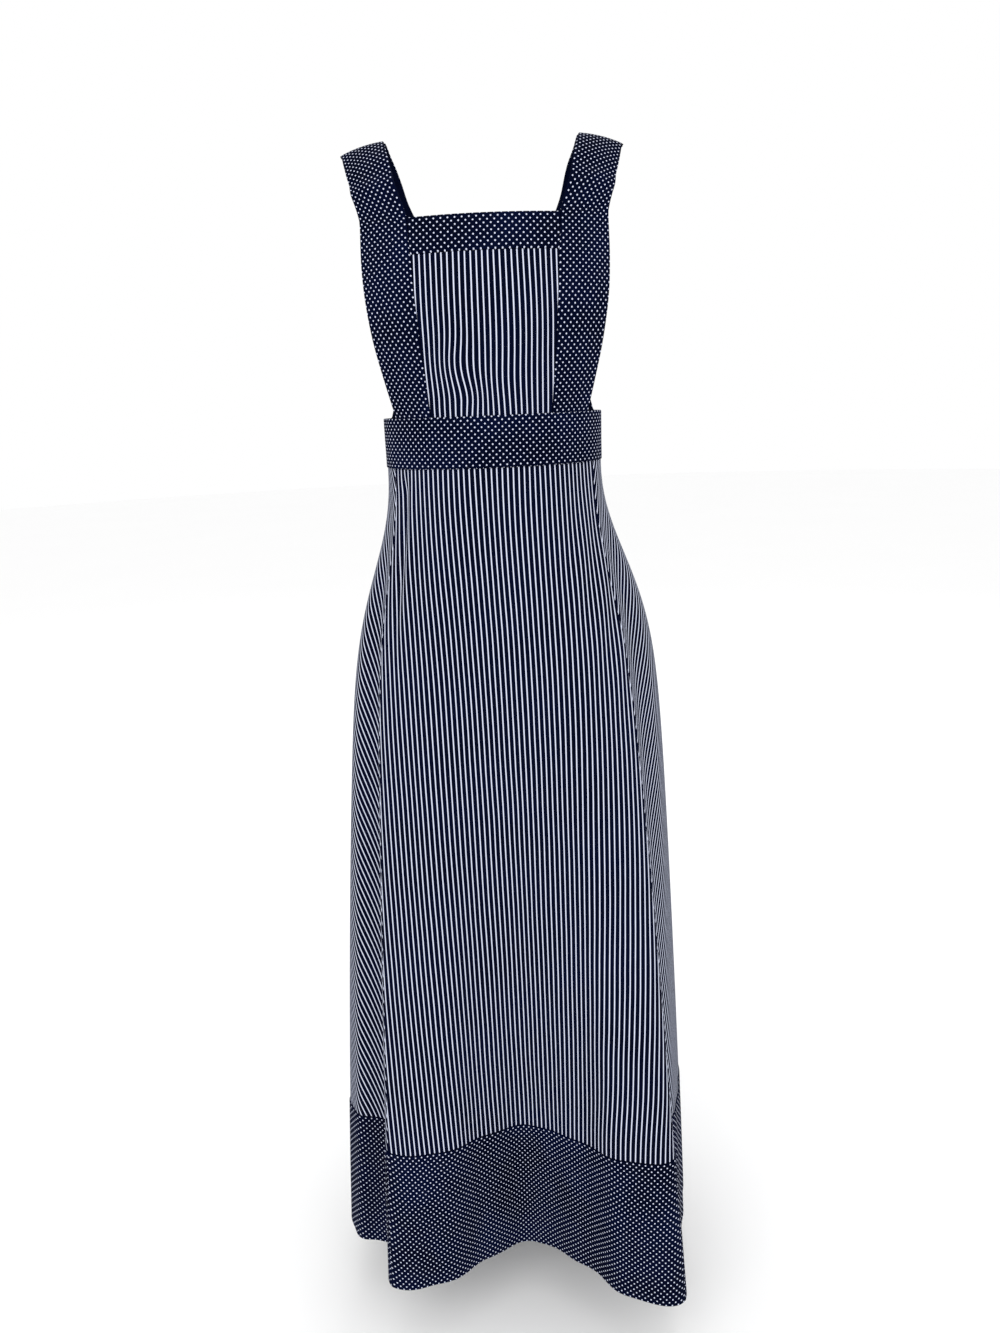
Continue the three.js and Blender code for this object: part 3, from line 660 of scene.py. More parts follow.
def dot_mask(tree, u, v):
    """White dots on a square lattice with one more at the centre of each square."""
    wander = calc(tree, "SUBTRACT", noise(tree, stretched(tree, u, v, 900, 900), 1.0), 0.5)
    a = calc(tree, "FRACT", calc(tree, "DIVIDE", u, DOT_PITCH))
    b = calc(tree, "FRACT", calc(tree, "DIVIDE", v, DOT_PITCH))
    a = calc(tree, "ABSOLUTE", calc(tree, "SUBTRACT", a, 0.5))
    b = calc(tree, "ABSOLUTE", calc(tree, "SUBTRACT", b, 0.5))
    centre = calc(tree, "ADD", calc(tree, "MULTIPLY", a, a), calc(tree, "MULTIPLY", b, b))
    a2, b2 = calc(tree, "SUBTRACT", 0.5, a), calc(tree, "SUBTRACT", 0.5, b)
    corner = calc(tree, "ADD", calc(tree, "MULTIPLY", a2, a2), calc(tree, "MULTIPLY", b2, b2))
    near = calc(tree, "SQRT", calc(tree, "MINIMUM", centre, corner))
    off = calc(tree, "MULTIPLY_ADD", near, DOT_PITCH, calc(tree, "MULTIPLY", wander, 0.0003))
    return between(tree, off, 0.00076, 0.00098, 1.0, 0.0)


def woven(name, dark, dark_other, pale=None, pattern=None, twill=True):
    """Cotton: navy that varies a little, its white figure, and the twill's diagonal and threads. The weave is
    bumped, and it is also painted into the colour as painted highlight on the thread tops and painted shade
    between them.
    """
    material, tree, shader = make_material(name)
    cloth = tree.nodes.new("ShaderNodeUVMap")
    cloth.uv_map = "cloth"
    split = tree.nodes.new("ShaderNodeSeparateXYZ")
    tree.links.new(cloth.outputs[0], split.inputs[0])
    u, v = split.outputs[0], split.outputs[1]
    place = cloth.outputs[0]

    slub = noise(tree, stretched(tree, u, v, 1400, 45), 1.0, 2.0)
    weft = noise(tree, stretched(tree, u, v, 45, 1400), 1.0, 2.0)
    fade = noise(tree, place, 9.0, 3.0, 0.6)
    diagonal = wave(tree, calc(tree, "ADD", u, v), THREAD * 2)
    warp = wave(tree, u, THREAD)
    filling = wave(tree, v, THREAD)
    if twill:
        weave = calc(tree, "MULTIPLY_ADD", diagonal, 0.6, calc(tree, "MULTIPLY", warp, 0.4))
    else:
        weave = calc(tree, "MULTIPLY_ADD", calc(tree, "MULTIPLY", warp, filling), 0.7, 0.15)
    yarn = calc(tree, "MULTIPLY_ADD", slub, 0.6, calc(tree, "MULTIPLY", weft, 0.4))

    navy = mixed(tree, between(tree, fade, 0.3, 0.7), dark, dark_other)
    # Navy lightened toward a paler navy in two ways: by the yarn's slubs, which are its own tone, and by the
    # weave, which is painted highlight on the thread tops.
    slub_tone_and_weave_highlight = calc(tree, "MULTIPLY_ADD", calc(tree, "SUBTRACT", yarn, 0.5), 0.30, 0.05)
    slub_tone_and_weave_highlight = calc(tree, "MULTIPLY_ADD", calc(tree, "SUBTRACT", weave, 0.5), 0.07, slub_tone_and_weave_highlight)
    navy = mixed(tree, calc(tree, "MAXIMUM", slub_tone_and_weave_highlight, 0.0), navy, (0.006, 0.012, 0.048, 1))
    colour = navy
    if pattern:
        mask = pattern(tree, u, v)
        # White greyed in two ways: by the yarn's slubs, which are its own tone, and by painted shade between
        # the threads, where the weave is low.
        slub_tone_and_groove_shade = calc(tree, "MULTIPLY_ADD", calc(tree, "SUBTRACT", yarn, 0.5), 0.35, 0.06)
        slub_tone_and_groove_shade = calc(tree, "MULTIPLY_ADD", calc(tree, "SUBTRACT", 0.5, weave), 0.16, slub_tone_and_groove_shade)
        white = mixed(tree, calc(tree, "MAXIMUM", slub_tone_and_groove_shade, 0.0), pale, (0.30, 0.33, 0.46, 1))
        colour = mixed(tree, mask, navy, white)
    tree.links.new(colour, shader.inputs["Base Color"])
    rough = between(tree, yarn, 0.2, 0.8, 0.78, 0.94)
    tree.links.new(rough, shader.inputs["Roughness"])
    shader.inputs["Specular IOR Level"].default_value = 0.02

    crumple = noise(tree, place, 26.0, 3.0, 0.5)
    broad = tree.nodes.new("ShaderNodeBump")
    broad.inputs["Strength"].default_value = 0.35
    broad.inputs["Distance"].default_value = 0.0022
    tree.links.new(crumple, broad.inputs["Height"])
    fine_height = calc(tree, "MULTIPLY_ADD", weave, 0.7, calc(tree, "MULTIPLY", yarn, 0.6))
    fine = tree.nodes.new("ShaderNodeBump")
    fine.inputs["Strength"].default_value = 0.45
    fine.inputs["Distance"].default_value = 0.00012
    tree.links.new(fine_height, fine.inputs["Height"])
    tree.links.new(broad.outputs[0], fine.inputs["Normal"])
    tree.links.new(fine.outputs[0], shader.inputs["Normal"])
    return material


NAVY, NAVY_OTHER = (0.0003, 0.0011, 0.0078, 1), (0.0007, 0.0021, 0.0150, 1)
WHITE = (0.68, 0.72, 0.87, 1)
striped = woven("pin_stripe_cotton", NAVY, NAVY_OTHER, WHITE, stripe_mask)
dotted = woven("pin_dot_cotton", NAVY, (0.0010, 0.0030, 0.0210, 1), WHITE, dot_mask, twill=False)
lining = woven("navy_lining", (0.0012, 0.0026, 0.0130, 1), (0.0020, 0.0040, 0.0190, 1), twill=False)


def button_material():
    """Pale pearly shell: soft bands of warm and cool white under a gloss."""
    material, tree, shader = make_material("button_shell")
    place = tree.nodes.new("ShaderNodeTexCoord").outputs["Object"]
    bands = noise(tree, place, 260.0, 4.0, 0.6)
    broad = noise(tree, place, 90.0, 2.0, 0.5)
    warm = mixed(tree, between(tree, bands, 0.35, 0.65), (0.80, 0.76, 0.66, 1), (0.88, 0.87, 0.82, 1))
    colour = mixed(tree, between(tree, broad, 0.45, 0.75, 0.0, 0.5), warm, (0.72, 0.74, 0.72, 1))
    tree.links.new(colour, shader.inputs["Base Color"])
    tree.links.new(between(tree, bands, 0.2, 0.8, 0.20, 0.36), shader.inputs["Roughness"])
    shader.inputs["Coat Weight"].default_value = 0.35
    shader.inputs["Coat Roughness"].default_value = 0.15
    return material


def thread_material():
    """Twisted navy cotton thread."""
    material, tree, shader = make_material("navy_thread")
    place = tree.nodes.new("ShaderNodeTexCoord").outputs["Object"]
    fibre = noise(tree, place, 2400.0, 3.0, 0.6)
    colour = mixed(tree, fibre, (0.008, 0.012, 0.045, 1), (0.030, 0.040, 0.105, 1))
    tree.links.new(colour, shader.inputs["Base Color"])
    shader.inputs["Roughness"].default_value = 0.62
    shader.inputs["Sheen Weight"].default_value = 0.1
    bump = tree.nodes.new("ShaderNodeBump")
    bump.inputs["Strength"].default_value = 0.5
    bump.inputs["Distance"].default_value = 0.0001
    tree.links.new(fibre, bump.inputs["Height"])
    tree.links.new(bump.outputs[0], shader.inputs["Normal"])
    return material


shell, thread = button_material(), thread_material()


# ---- How cloth coordinates run over a piece ----
def from_centre(points, us, vs):
    s = along_rows(points)
    centre = np.argmin(np.abs(us))
    return s - s[:, centre : centre + 1], np.broadcast_to(-vs[:, None], s.shape)


def from_end(which):
    def cloth_map(points, us, vs):
        s = along_rows(points)
        zero = 0 if which == "start" else -1
        return s - s[:, zero][:, None], np.broadcast_to(-vs[:, None], s.shape)

    return cloth_map


def down_the_middle(points, us, vs):
    s = along_rows(points)
    middle = np.argmin(np.abs(us - 0.5))
    t = along_columns(points)[:, middle]
    return s - s[:, middle][:, None], np.broadcast_to(t[:, None], s.shape)


def pulled(points, us, vs):
    """The bib panel's stripes, dragged aside where the cloth is pulled at its lower left."""
    u, v = from_centre(points, us, vs)
    x, z = points[..., 0], points[..., 2]
    drag = 3.4 * ridge(x, -38, 20) * ridge(z, 78, 22) - 2.2 * ridge(x, -22, 18) * ridge(z, 44, 16)
    drag += 1.3 * ridge(x, 12, 22) * ridge(z, 62, 26) - 1.2 * ridge(x, 40, 26) * ridge(z, 120, 40)
    return u + drag, v


def gore(lean, front):
    """A flared panel cut with its stripes leaning: they run toward the front going down."""
    level, upright = math.cos(math.radians(lean)), math.sin(math.radians(lean))

    def cloth_map(points, us, vs):
        s = along_rows(points)
        s = s if front == "start" else s[:, -1:] - s
        fall = (vs[0] - vs)[:, None]
        u = s * level + fall * upright
        return (u if front == "start" else -u), fall * level - s * upright

    return cloth_map


# ---- Bib ----
def bib_push(edge):
    def push(us, vs):
        z = vs[:, None]
        return chest_creases(us[None, :] * edge(z), z)

    return push


def shoulder_push(us, vs):
    z = (NECKLINE_HEIGHT + np.minimum(vs, 0) * (NECKLINE_HEIGHT - WAISTBAND_TOP))[:, None]
    x = lerp(panel_edge(z), bib_edge(z), us[None, :])
    return x, z


def shoulder_creases(sign):
    def push(us, vs):
        x, z = shoulder_push(us, vs)
        on_chest = np.where(vs <= 0, 1.0, np.clip(1 - vs / 0.15, 0, 1))[:, None]
        bend = 1.2 * ridge(vs, 0.34, 0.07)[:, None] - 0.8 * ridge(vs, 0.46, 0.06)[:, None]
        return chest_creases(sign * x, z) * on_chest + bend

    return push


bib_rows = lines(top_band_bottom, WAISTBAND_TOP, 46, top_band_bottom - WAISTBAND_TOP)
top_rows = lines(NECKLINE_HEIGHT, top_band_bottom, 10, TOP_BAND_HEIGHT)
bib_columns = lines(-1, 1, 48, 2 * NECK_HALF_WIDTH)
sheet(
    "bib_panel_cloth", across_panel, bib_columns, bib_rows, bib_in, bib_in + PANEL_CLOTH,
    pulled, striped, "pin_stripe_cotton", ["bib_panel"],
    push=bib_push(panel_edge), seams=("start", "end", "top", "bottom"), rests_on=["bib_lining_cloth"],
)
sheet(
    "bib_top_band_cloth", across_panel, bib_columns, top_rows, bib_in, bib_in + BAND_CLOTH,
    from_centre, dotted, "pin_dot_cotton", ["bib_top_band"],
    push=bib_push(panel_edge), seams=("start", "end", "bottom"), rests_on=["bib_lining_cloth"],
)
lining_rows = lines(NECKLINE_HEIGHT, WAISTBAND_TOP, 40, NECKLINE_HEIGHT - WAISTBAND_TOP)
sheet(
    "bib_lining_cloth", across_bib, lines(-1, 1, 60, 2 * BIB_HALF_BOTTOM), lining_rows, 0, LINING_CLOTH,
    from_centre, lining, "navy_lining", ["bib_lining"],
    push=bib_push(bib_edge), rests_on=["waistband_front_cloth"],
)

shoulder_over = lines(1, 0, 34, 130)
shoulder_chest = lines(0, -1, 50, NECKLINE_HEIGHT - WAISTBAND_TOP)
shoulder_rows = np.concatenate([shoulder_over[shoulder_over > 0.02], shoulder_chest[shoulder_chest < -0.012]])
for side, sign in (("left", 1), ("right", -1)):
    sheet(
        "shoulder_band_cloth_" + side, shoulder_band, lines(0, 1, 16, STRAP_WIDTH), shoulder_rows,
        bib_in, bib_in + BAND_CLOTH, down_the_middle, dotted, "pin_dot_cotton", ["shoulder_band_" + side],
        push=shoulder_creases(sign), seams=("top", "bottom"), mirror=sign < 0,
        rests_on=["bib_lining_cloth"],
    )
    sheet(
        "shoulder_facing_cloth_" + side, shoulder_band, lines(0, 1, 12, STRAP_WIDTH),
        lines(1, 0.005, 30, 130), 0, LINING_CLOTH, down_the_middle, lining, "navy_lining",
        ["shoulder_facing_" + side], push=shoulder_creases(sign), mirror=sign < 0,
        rests_on=["shoulder_band_cloth_" + side],
    )

# ---- Waistband ----
def waist_creases(us, vs):
    a, z = us[None, :], vs[:, None]
    return 0.35 * np.sin(a / 7.0 + z / 14) * ridge(z, waist_middle, 20) * np.abs(np.sin(a / 31))


waist_rows = lines(WAISTBAND_TOP, waistband_bottom, 14, WAISTBAND_HEIGHT)
waist_girth = 2 * SIDE_BACK_ANGLE / 180 * math.pi * 108
front_columns = lines(-SIDE_BACK_ANGLE, SIDE_BACK_ANGLE, 200, waist_girth)
sheet(
    "waistband_front_cloth", torso, front_columns, waist_rows, band_in, band_out,
    from_centre, dotted, "pin_dot_cotton", ["waistband_front"], push=waist_creases,
    seams=("start", "end"), rests_on=["waistband_facing_cloth_front"],
)
sheet(
    "waistband_facing_cloth_front", torso, front_columns, waist_rows, 0, LINING_CLOTH,
    from_centre, lining, "navy_lining", ["waistband_facing_front"],
    rests_on=["waistband_front_cloth"],
)

lap_step = BAND_CLOTH + 1.5 * LAYER_GAP


def lap_push(us, vs):
    rise = smooth(us, SIDE_BACK_ANGLE + 2, 180 - UNDERLAP_ANGLE - 3)
    return np.broadcast_to(lap_step * rise[None, :], (len(vs), len(us)))


def seam_point(z_waist):
    """A point of the side-back seam of the left side, in the frame's metres."""
    point = skirt(np.array([SEAM]), np.array([z_waist]))[0, 0]
    return (point + [0, -SHOULDER_BACK, -SHOULDER_TO_WAIST]) * MM


def flap_hinge(sign):
    """Two points at the top of the side-back seam, the second 34 mm across it: a plane that holds the seam.
    """
    top, low = seam_point(waistband_bottom), seam_point(-WAIST_TO_HEM)
    seam = unit(low - top)
    toward = np.array([-1, 0.19, 0])
    toward = unit(toward - seam * (toward @ seam))
    start, end = top, top + toward * 0.034
    flip = np.array([sign, 1, 1])
    return tuple(start * flip), tuple(end * flip)


over_end = 180 + UNDERLAP_ANGLE
end_length = (over_end - SIDE_BACK_ANGLE) / 180 * math.pi * 118
over_button_angle = 180 + 0.35 * UNDERLAP_ANGLE

# ---- Buttonholes and buttons ----
HOLE_LENGTH = 2 * BUTTON_RADIUS + 1
HOLE_WIDTH = 2 * (SHANK_RADIUS + LAYER_GAP)


def on_torso(angle, z, aside, up, out):
    """The point aside and up from a place on the torso, pushed out from it."""
    metric = np.linalg.norm(torso_at(angle + 0.5, z) - torso_at(angle - 0.5, z))
    a = angle + aside / metric
    point = torso_at(a, z + up)
    along = unit(torso_at(a + 0.1, z + up) - torso_at(a - 0.1, z + up))
    outward = np.cross(along, [0, 0, 1])
    return point + unit(outward) * np.asarray(out)[..., None]


def torso_frame(angle, z, out):
    """A matrix whose X runs along the waist, Y outward and Z up, in frame metres."""
    point = torso_at(angle, z)
    along = unit(torso_at(angle + 0.1, z) - torso_at(angle - 0.1, z))
    outward = unit(np.cross(along, [0, 0, 1]))
    place = (point + outward * out + [0, -SHOULDER_BACK, -SHOULDER_TO_WAIST]) * MM
    turn = Matrix((Vector(-along), Vector(outward), Vector((0, 0, 1)))).transposed().to_4x4()
    return Matrix.Translation(Vector(place)) @ turn


def slit_outline(level, count=20):
    """A rounded slot round the buttonhole, lying across the waist if level, else upright."""
    half, end = HOLE_LENGTH / 2 - HOLE_WIDTH / 2, HOLE_WIDTH / 2
    a = np.linspace(-math.pi / 2, math.pi / 2, count)
    right = np.stack([half + end * np.cos(a), end * np.sin(a)], -1)
    loop = np.concatenate([right, -right])
    return loop if level else loop[:, ::-1]


def cut_slit(obj, angle, z, level):
    """Cuts the buttonhole's slit through a sheet."""
    loop = slit_outline(level)
    n = len(loop)
    low = on_torso(angle, z, loop[:, 0], loop[:, 1], np.full(n, -6.0))
    high = on_torso(angle, z, loop[:, 0], loop[:, 1], np.full(n, 16.0))
    points = (np.concatenate([low, high]) + [0, -SHOULDER_BACK, -SHOULDER_TO_WAIST]) * MM
    faces = [[i, (i + 1) % n, n + (i + 1) % n, n + i] for i in range(n)]
    faces += [list(range(n))[::-1], list(range(n, 2 * n))]
    mesh = bpy.data.meshes.new("slit")
    mesh.from_pydata(points.tolist(), [], faces)
    mesh.update()
    cutter = bpy.data.objects.new("slit", mesh)
    scene.collection.objects.link(cutter)
    turned_right(mesh)
    modifier = obj.modifiers.new("slit", "BOOLEAN")
    modifier.operation, modifier.object, modifier.solver = "DIFFERENCE", cutter, "EXACT"
    bake_modifiers(obj)
    bpy.data.objects.remove(cutter)


def turned_right(mesh):
    import bmesh

    work = bmesh.new()
    work.from_mesh(mesh)
    bmesh.ops.recalc_face_normals(work, faces=work.faces)
    work.to_mesh(mesh)
    work.free()


def bake_modifiers(obj):
    graph = bpy.context.evaluated_depsgraph_get()
    made = bpy.data.meshes.new_from_object(obj.evaluated_get(graph), depsgraph=graph)
    obj.modifiers.clear()
    obj.data = made


def tube(points, radius, sides=6):
    """Vertices and faces of a closed round tube along points (n, 3)."""
    points = np.asarray(points, float)
    tangent = unit(np.gradient(points, axis=0))
    guide = np.array([0.3, 0.2, 0.93])
    side = unit(np.cross(tangent, guide))
    other = np.cross(tangent, side)
    a = np.arange(sides) / sides * 2 * math.pi
    n = len(points)
    swell = np.ones(n)
    swell[0] = swell[-1] = 0.55
    ring = side[:, None] * np.cos(a)[None, :, None] + other[:, None] * np.sin(a)[None, :, None]
    vertices = (points[:, None] + ring * (radius * swell)[:, None, None]).reshape(-1, 3)
    faces = []
    for i in range(n - 1):
        for k in range(sides):
            m = (k + 1) % sides
            faces.append([i * sides + k, i * sides + m, (i + 1) * sides + m, (i + 1) * sides + k])
    faces.append(list(range(sides))[::-1])
    faces.append([(n - 1) * sides + k for k in range(sides)])
    return vertices, faces


def joined(parts):
    vertices, faces, base = [], [], 0
    for v, f in parts:
        vertices.append(v)
        faces += [[base + i for i in face] for face in f]
        base += len(v)
    return np.concatenate(vertices), faces


def plain_piece(name, parts, material, nodes, body):
    vertices, faces = joined(parts)
    obj = write_mesh(name, vertices, faces, {}, material)
    turned_right(obj.data)
    if nodes:
        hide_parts(*nodes)
    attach(obj, body)
    return obj


def buttonhole(name, node, angle, z, level, top):
    """Close purl stitches round the slit, with a bar of longer ones across each end."""
    half = HOLE_LENGTH / 2 - HOLE_WIDTH / 2
    parts = []

    def stitch(x0, y0, x1, y1, height):
        share = np.linspace(0, 1, 5)
        x, y = lerp(x0, x1, share), lerp(y0, y1, share)
        out = top + height * np.sin(math.pi * (0.12 + 0.76 * share))
        aside, up = (x, y) if level else (y, x)
        parts.append(tube(on_torso(angle, z, aside, up, out), 0.27, 5))

    for k in range(36):
        x = lerp(-half - 1.2, half + 1.2, k / 35)
        for flip in (-1, 1):
            stitch(x, flip * (HOLE_WIDTH / 2 - 0.25), x, flip * (HOLE_WIDTH / 2 + 1.9), 0.34)
    for flip in (-1, 1):
        for k in range(6):
            x = flip * (HOLE_LENGTH / 2 - 0.5 + 0.44 * k)
            stitch(x, -HOLE_WIDTH / 2 - 1.9, x, HOLE_WIDTH / 2 + 1.9, 0.42)
    return plain_piece(name, parts, thread, [node], body_of_node[node])


def button(name, node, angle, z, out):
    """A turned four-hole button: a raised rim, a dished middle, and thread through its holes."""
    rim, thick = BUTTON_RADIUS, BUTTON_THICKNESS
    outline = [
        (0, 0), (rim - 2.4, 0), (rim - 1.1, 0.18), (rim - 0.35, 0.65), (rim, 1.4), (rim - 0.1, 2.0),
        (rim - 0.45, 2.6), (rim - 1.0, 2.93), (rim - 1.6, thick), (rim - 2.2, 2.88),
        (rim - 2.8, 2.5), (rim - 3.4, 2.2), (rim - 4.4, 2.08), (0, 2.0),
    ]
    sides = 64
    a = np.arange(sides) / sides * 2 * math.pi
    vertices = [[0, outline[0][1], 0]]
    for r, h in outline[1:-1]:
        vertices += [[r * math.cos(t), h, r * math.sin(t)] for t in a]
    vertices.append([0, outline[-1][1], 0])
    faces = [[0, 1 + k, 1 + (k + 1) % sides] for k in range(sides)]
    for i in range(len(outline) - 3):
        low, high = 1 + i * sides, 1 + (i + 1) * sides
        for k in range(sides):
            m = (k + 1) % sides
            faces.append([low + k, high + k, high + m, low + m])
    top, last = len(vertices) - 1, 1 + (len(outline) - 3) * sides
    faces += [[last + k, top, last + (k + 1) % sides] for k in range(sides)]
    mesh = bpy.data.meshes.new(name)
    mesh.from_pydata((np.array(vertices) * MM).tolist(), [], faces)
    turned_right(mesh)
    mesh.polygons.foreach_set("use_smooth", [True] * len(mesh.polygons))
    mesh.materials.append(shell)
    obj = bpy.data.objects.new(name, mesh)
    scene.collection.objects.link(obj)
    spots = [(x * 1.7, y * 1.7) for x in (-1, 1) for y in (-1, 1)]
    drill = []
    for x, y in spots:
        line = np.stack([np.full(9, x), np.linspace(-2, 5, 9), np.full(9, y)], -1)
        drill.append(tube(line, 0.9, 20))
    vertices, faces = joined(drill)
    cutter_mesh = bpy.data.meshes.new("drill")
    cutter_mesh.from_pydata((vertices * MM).tolist(), [], faces)
    turned_right(cutter_mesh)
    cutter = bpy.data.objects.new("drill", cutter_mesh)
    scene.collection.objects.link(cutter)
    modifier = obj.modifiers.new("holes", "BOOLEAN")
    modifier.operation, modifier.object, modifier.solver = "DIFFERENCE", cutter, "EXACT"
    bake_modifiers(obj)
    bpy.data.objects.remove(cutter)

    strands = []
    for x in (-1.7, 1.7):
        for k in (-0.32, 0.0, 0.32):
            share = np.linspace(0, 1, 13)
            y = lerp(-1.7, 1.7, share)
            lift = 0.9 + 1.55 * np.clip(np.sin(math.pi * share) * 2.6, 0, 1) + 0.1 * (k == 0)
            strands.append(tube(np.stack([np.full(13, x + k), lift, y], -1), 0.26, 6))
    vertices, faces = joined(strands)
    stitch_mesh = bpy.data.meshes.new(name + "_thread")
    stitch_mesh.from_pydata((vertices * MM).tolist(), [], faces)
    turned_right(stitch_mesh)
    stitch_mesh.polygons.foreach_set("use_smooth", [True] * len(stitch_mesh.polygons))
    stitch_mesh.materials.append(thread)
    stitches = bpy.data.objects.new(name + "_thread", stitch_mesh)
    scene.collection.objects.link(stitches)

    where = torso_frame(angle, z, out)
    for piece, slot in ((obj, "button_shell"), (stitches, "navy_thread")):
        piece.matrix_world = where
        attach(piece, body_of_node[node])
    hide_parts(node)
    return obj


for side, sign, push, node_push, ending in (
    ("left", 1, lap_push, lap_step, over_end),
    ("right", -1, None, 0, over_end),
):
    hole = (over_button_angle, waist_middle, True) if side == "left" else None
    sheet(
        "waistband_back_cloth_" + side, torso, lines(SIDE_BACK_ANGLE, ending, 44, end_length),
        waist_rows, band_in, band_out, from_end("start"), dotted, "pin_dot_cotton",
        ["waistband_back_" + side], push=push, seams=("start",), mirror=sign < 0,
        rests_on=["waistband_front_cloth"], hinge=flap_hinge(sign), slit=hole,
    )
    facing_end = 180 - UNDERLAP_ANGLE - 1 if side == "left" else ending
    facing_length = (facing_end - SIDE_BACK_ANGLE) / 180 * math.pi * 118
    sheet(
        "waistband_facing_cloth_back_" + side, torso,
        lines(SIDE_BACK_ANGLE, facing_end, 10 if side == "left" else 40, facing_length),
        waist_rows, 0, LINING_CLOTH, from_end("start"), lining, "navy_lining",
        ["waistband_facing_back_" + side], mirror=sign < 0,
        rests_on=["waistband_back_cloth_" + side], hinge=flap_hinge(sign),
    )
buttonhole(
    "waist_buttonhole_stitches", "waist_buttonhole", over_button_angle, waist_middle, True,
    band_out + lap_step,
)
waist_under = band_out + 2 * 0.3 + lap_step + LAYER_GAP
button("waist_button_turned", "waist_button", over_button_angle, waist_middle, waist_under)

# ---- Skirt ----
ROW_EASE = 1.35  # rows crowd toward the waist, where the skirt spreads fastest


def skirt_rows(count):
    even = lines(0, 1, count, waistband_bottom - hem_top)
    return lerp(waistband_bottom, hem_top, even**ROW_EASE)


hem_rows = lines(hem_top, -WAIST_TO_HEM, 34, HEM_BAND_HEIGHT)


def skirt_pair(panel, hem, start, end, count, panel_map, hem_map, hinge=None, free=""):
    length = along_rows(skirt(np.linspace(start, end, 60), np.array([-700.0])))[0, -1]
    columns = lines(start, end, count, length)
    if start < 0 < end:
        columns = np.unique(np.append(columns, 0.0))
    sewn = tuple(edge for edge in ("start", "end") if edge != free)
    sheet(
        panel + "_cloth", skirt, columns, skirt_rows(120), band_in, band_in + PANEL_CLOTH,
        panel_map, striped, "pin_stripe_cotton", [panel], push=skirt_creases,
        seams=sewn + ("top", "bottom"), held="hung", rests_on=["waistband_front_cloth"], hinge=hinge,
    )
    sheet(
        hem + "_cloth", skirt, columns, hem_rows, band_in, band_in + BAND_CLOTH,
        hem_map, dotted, "pin_dot_cotton", [hem], push=skirt_creases,
        seams=sewn + ("top",), held="hung", rests_on=[panel + "_cloth"], hinge=hinge,
    )


SIDE_LEAN = 21  # degrees between the side panels' stripes and their front seam
skirt_pair("skirt_front_panel", "hem_band_front", -FOLD, FOLD, 170, from_centre, from_centre)
skirt_pair(
    "skirt_side_panel_left", "hem_band_side_left", FOLD, SEAM, 120,
    gore(SIDE_LEAN, "start"), from_end("start"),
)
skirt_pair(
    "skirt_side_panel_right", "hem_band_side_right", -SEAM, -FOLD, 120,
    gore(SIDE_LEAN, "end"), from_end("end"),
)
skirt_pair(
    "skirt_back_panel_left", "hem_band_back_left", SEAM, BACK_EDGE, 44,
    from_end("end"), from_end("end"), hinge=flap_hinge(1), free="end",
)
skirt_pair(
    "skirt_back_panel_right", "hem_band_back_right", -BACK_EDGE, -SEAM, 44,
    from_end("start"), from_end("start"), hinge=flap_hinge(-1), free="start",
)

FACING_KNOTS = 0.55
facing_rows = lines(waistband_bottom - 0.3, -WAIST_TO_HEM, 110, WAIST_TO_HEM + waistband_bottom)
for side, sign in (("left", 1), ("right", -1)):
    ends = sorted((sign * (BACK_EDGE - 0.012), sign * (BACK_EDGE - FACING_KNOTS)))
    sheet(
        "back_edge_facing_cloth_" + side, skirt, lines(*ends, 10, 26), facing_rows, 0, LINING_CLOTH,
        from_end("start"), lining, "navy_lining", ["back_edge_facing_" + side], push=skirt_creases,
        held="hung", rests_on=["skirt_back_panel_" + side + "_cloth"], hinge=flap_hinge(sign),
    )

# ---- Back straps ----
strap_out = STRAP_CLOTH + LAYER_GAP + LINING_CLOTH
strap_rest = band_out + LAYER_GAP
STRAP_BLEND = ((0, 0.004, 0), (0, 0.048, -0.066))
strap_rows = lines(0, 1, 150, 460)
strap_columns = lines(0, 1, 18, STRAP_WIDTH)


def strap_push(layer):
    def push(us, vs):
        clear = strap_rest * smooth(vs, 0.03, 0.2)
        crossed = layer * smooth(vs, 0.05, 0.35) * (1 - smooth(vs, 0.78, 0.92))
        return np.broadcast_to((clear + crossed)[:, None], (len(vs), len(us)))

    return push


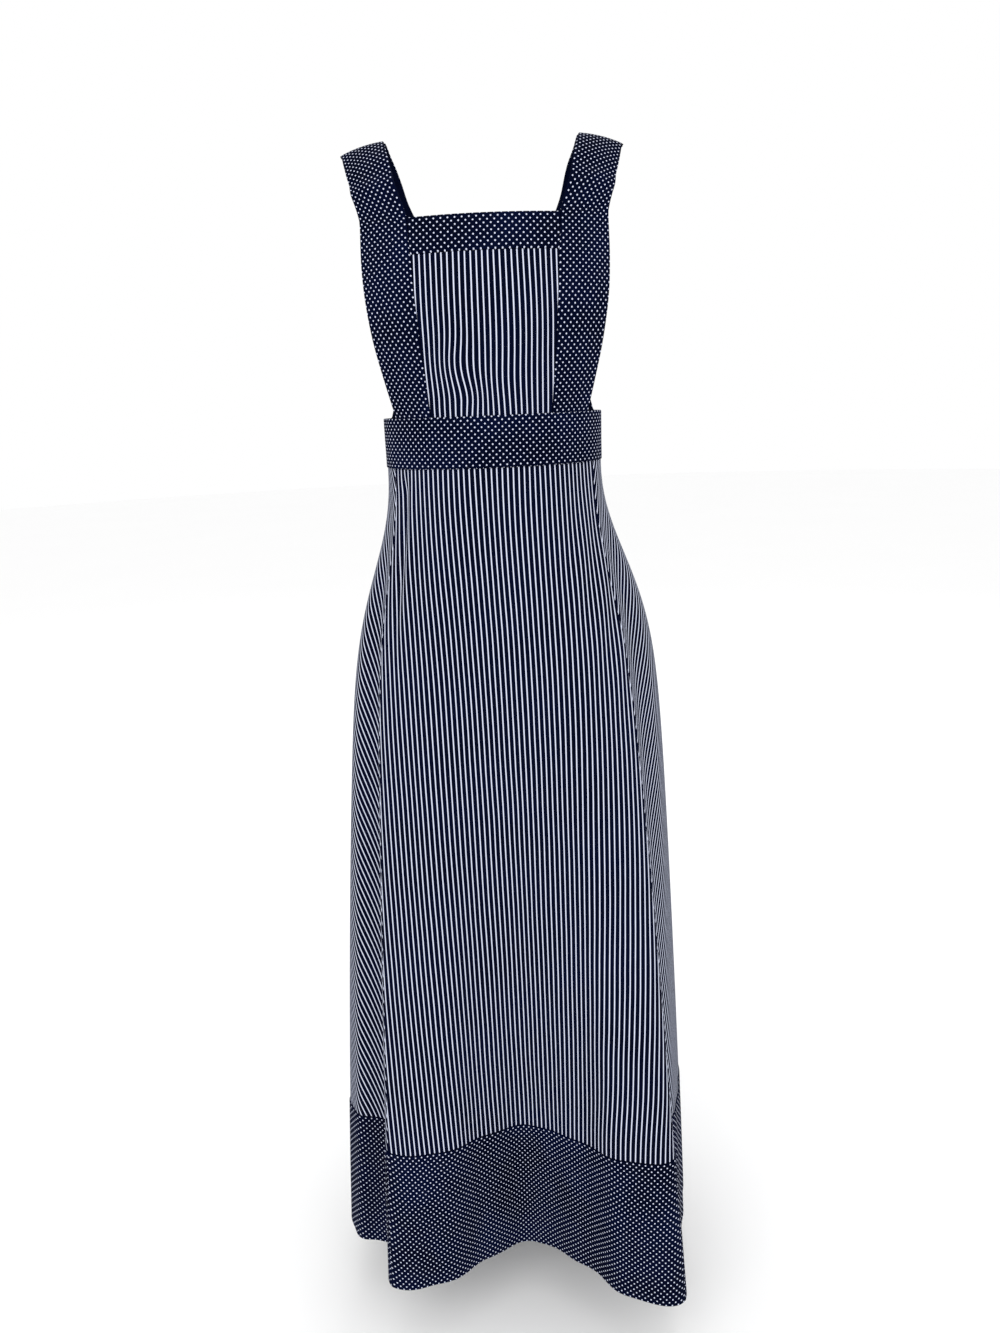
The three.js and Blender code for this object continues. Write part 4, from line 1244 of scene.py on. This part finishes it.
for side, sign, layer in (("left", 1, strap_out + LAYER_GAP), ("right", -1, 0)):
    # The strap is drawn on the left and mirrored, so its button is drawn on the right.
    angle = -STRAP_END_ANGLE * sign
    common = dict(mirror=sign < 0, hinge=STRAP_BLEND, slit=(angle, waist_middle, False))
    sheet(
        "back_strap_facing_cloth_" + side, back_strap, strap_columns, strap_rows, 0, LINING_CLOTH,
        down_the_middle, lining, "navy_lining", ["back_strap_facing_" + side],
        push=strap_push(layer), seams=("top",), rests_on=["back_strap_cloth_" + side], **common,
    )
    inner = LINING_CLOTH + LAYER_GAP
    sheet(
        "back_strap_cloth_" + side, back_strap, strap_columns, strap_rows, inner, inner + STRAP_CLOTH,
        down_the_middle, dotted, "pin_dot_cotton", ["back_strap_" + side],
        push=strap_push(layer), seams=("top",), rests_on=["waistband_front_cloth"], **common,
    )
    buttonhole(
        "strap_buttonhole_stitches_" + side, "strap_buttonhole_" + side, angle, waist_middle, False,
        strap_rest + strap_out,
    )
    under = strap_rest + strap_out + LAYER_GAP + 2 * 0.3
    button("strap_button_turned_" + side, "strap_button_" + side, angle, waist_middle, under)

for name in ("waist_button_shank", "strap_button_shank_left", "strap_button_shank_right"):
    for place in frame["nodes"][name].material_slots:
        place.material = thread

# ---- Floor, light and view ----
def stage_material():
    material, tree, shader = make_material("pale_floor")
    place = tree.nodes.new("ShaderNodeTexCoord").outputs["Object"]
    tone = mixed(tree, noise(tree, place, 1.5, 3.0), (0.97, 0.97, 0.97, 1), (0.985, 0.985, 0.985, 1))
    tree.links.new(tone, shader.inputs["Base Color"])
    shader.inputs["Roughness"].default_value = 0.9
    shader.inputs["Specular IOR Level"].default_value = 0.1
    return material


FLOOR_DROP = 0.09
bpy.ops.mesh.primitive_circle_add(vertices=96, radius=14, fill_type="NGON")
floor = bpy.context.object
floor.name = "floor"
floor.location.z = cad_low[2] - FLOOR_DROP
floor.data.materials.append(stage_material())


def area_light(name, place, aim, size, power, colour=(1, 1, 1)):
    data = bpy.data.lights.new(name, "AREA")
    data.size = size
    data.energy = power
    data.color = colour
    lamp = bpy.data.objects.new(name, data)
    lamp.location = place
    toward = Vector(aim) - Vector(place)
    lamp.rotation_mode = "QUATERNION"
    lamp.rotation_quaternion = toward.to_track_quat("-Z", "Y")
    scene.collection.objects.link(lamp)


middle = (0, 0, -0.7)
area_light("key", (-1.5, -2.6, 1.5), middle, 1.8, 20)
area_light("fill", (2.2, -2.2, 0.6), middle, 2.2, 9)
area_light("rim", (0.6, 2.8, 1.4), middle, 2.0, 18)
area_light("top", (0, -0.2, 2.6), middle, 2.0, 8)

world = bpy.data.worlds.new("studio")
world.use_nodes = True
world.node_tree.nodes["Background"].inputs[0].default_value = (1, 1, 1, 1)
world.node_tree.nodes["Background"].inputs[1].default_value = 1.0
scene.world = world
scene.view_settings.view_transform = "Standard"
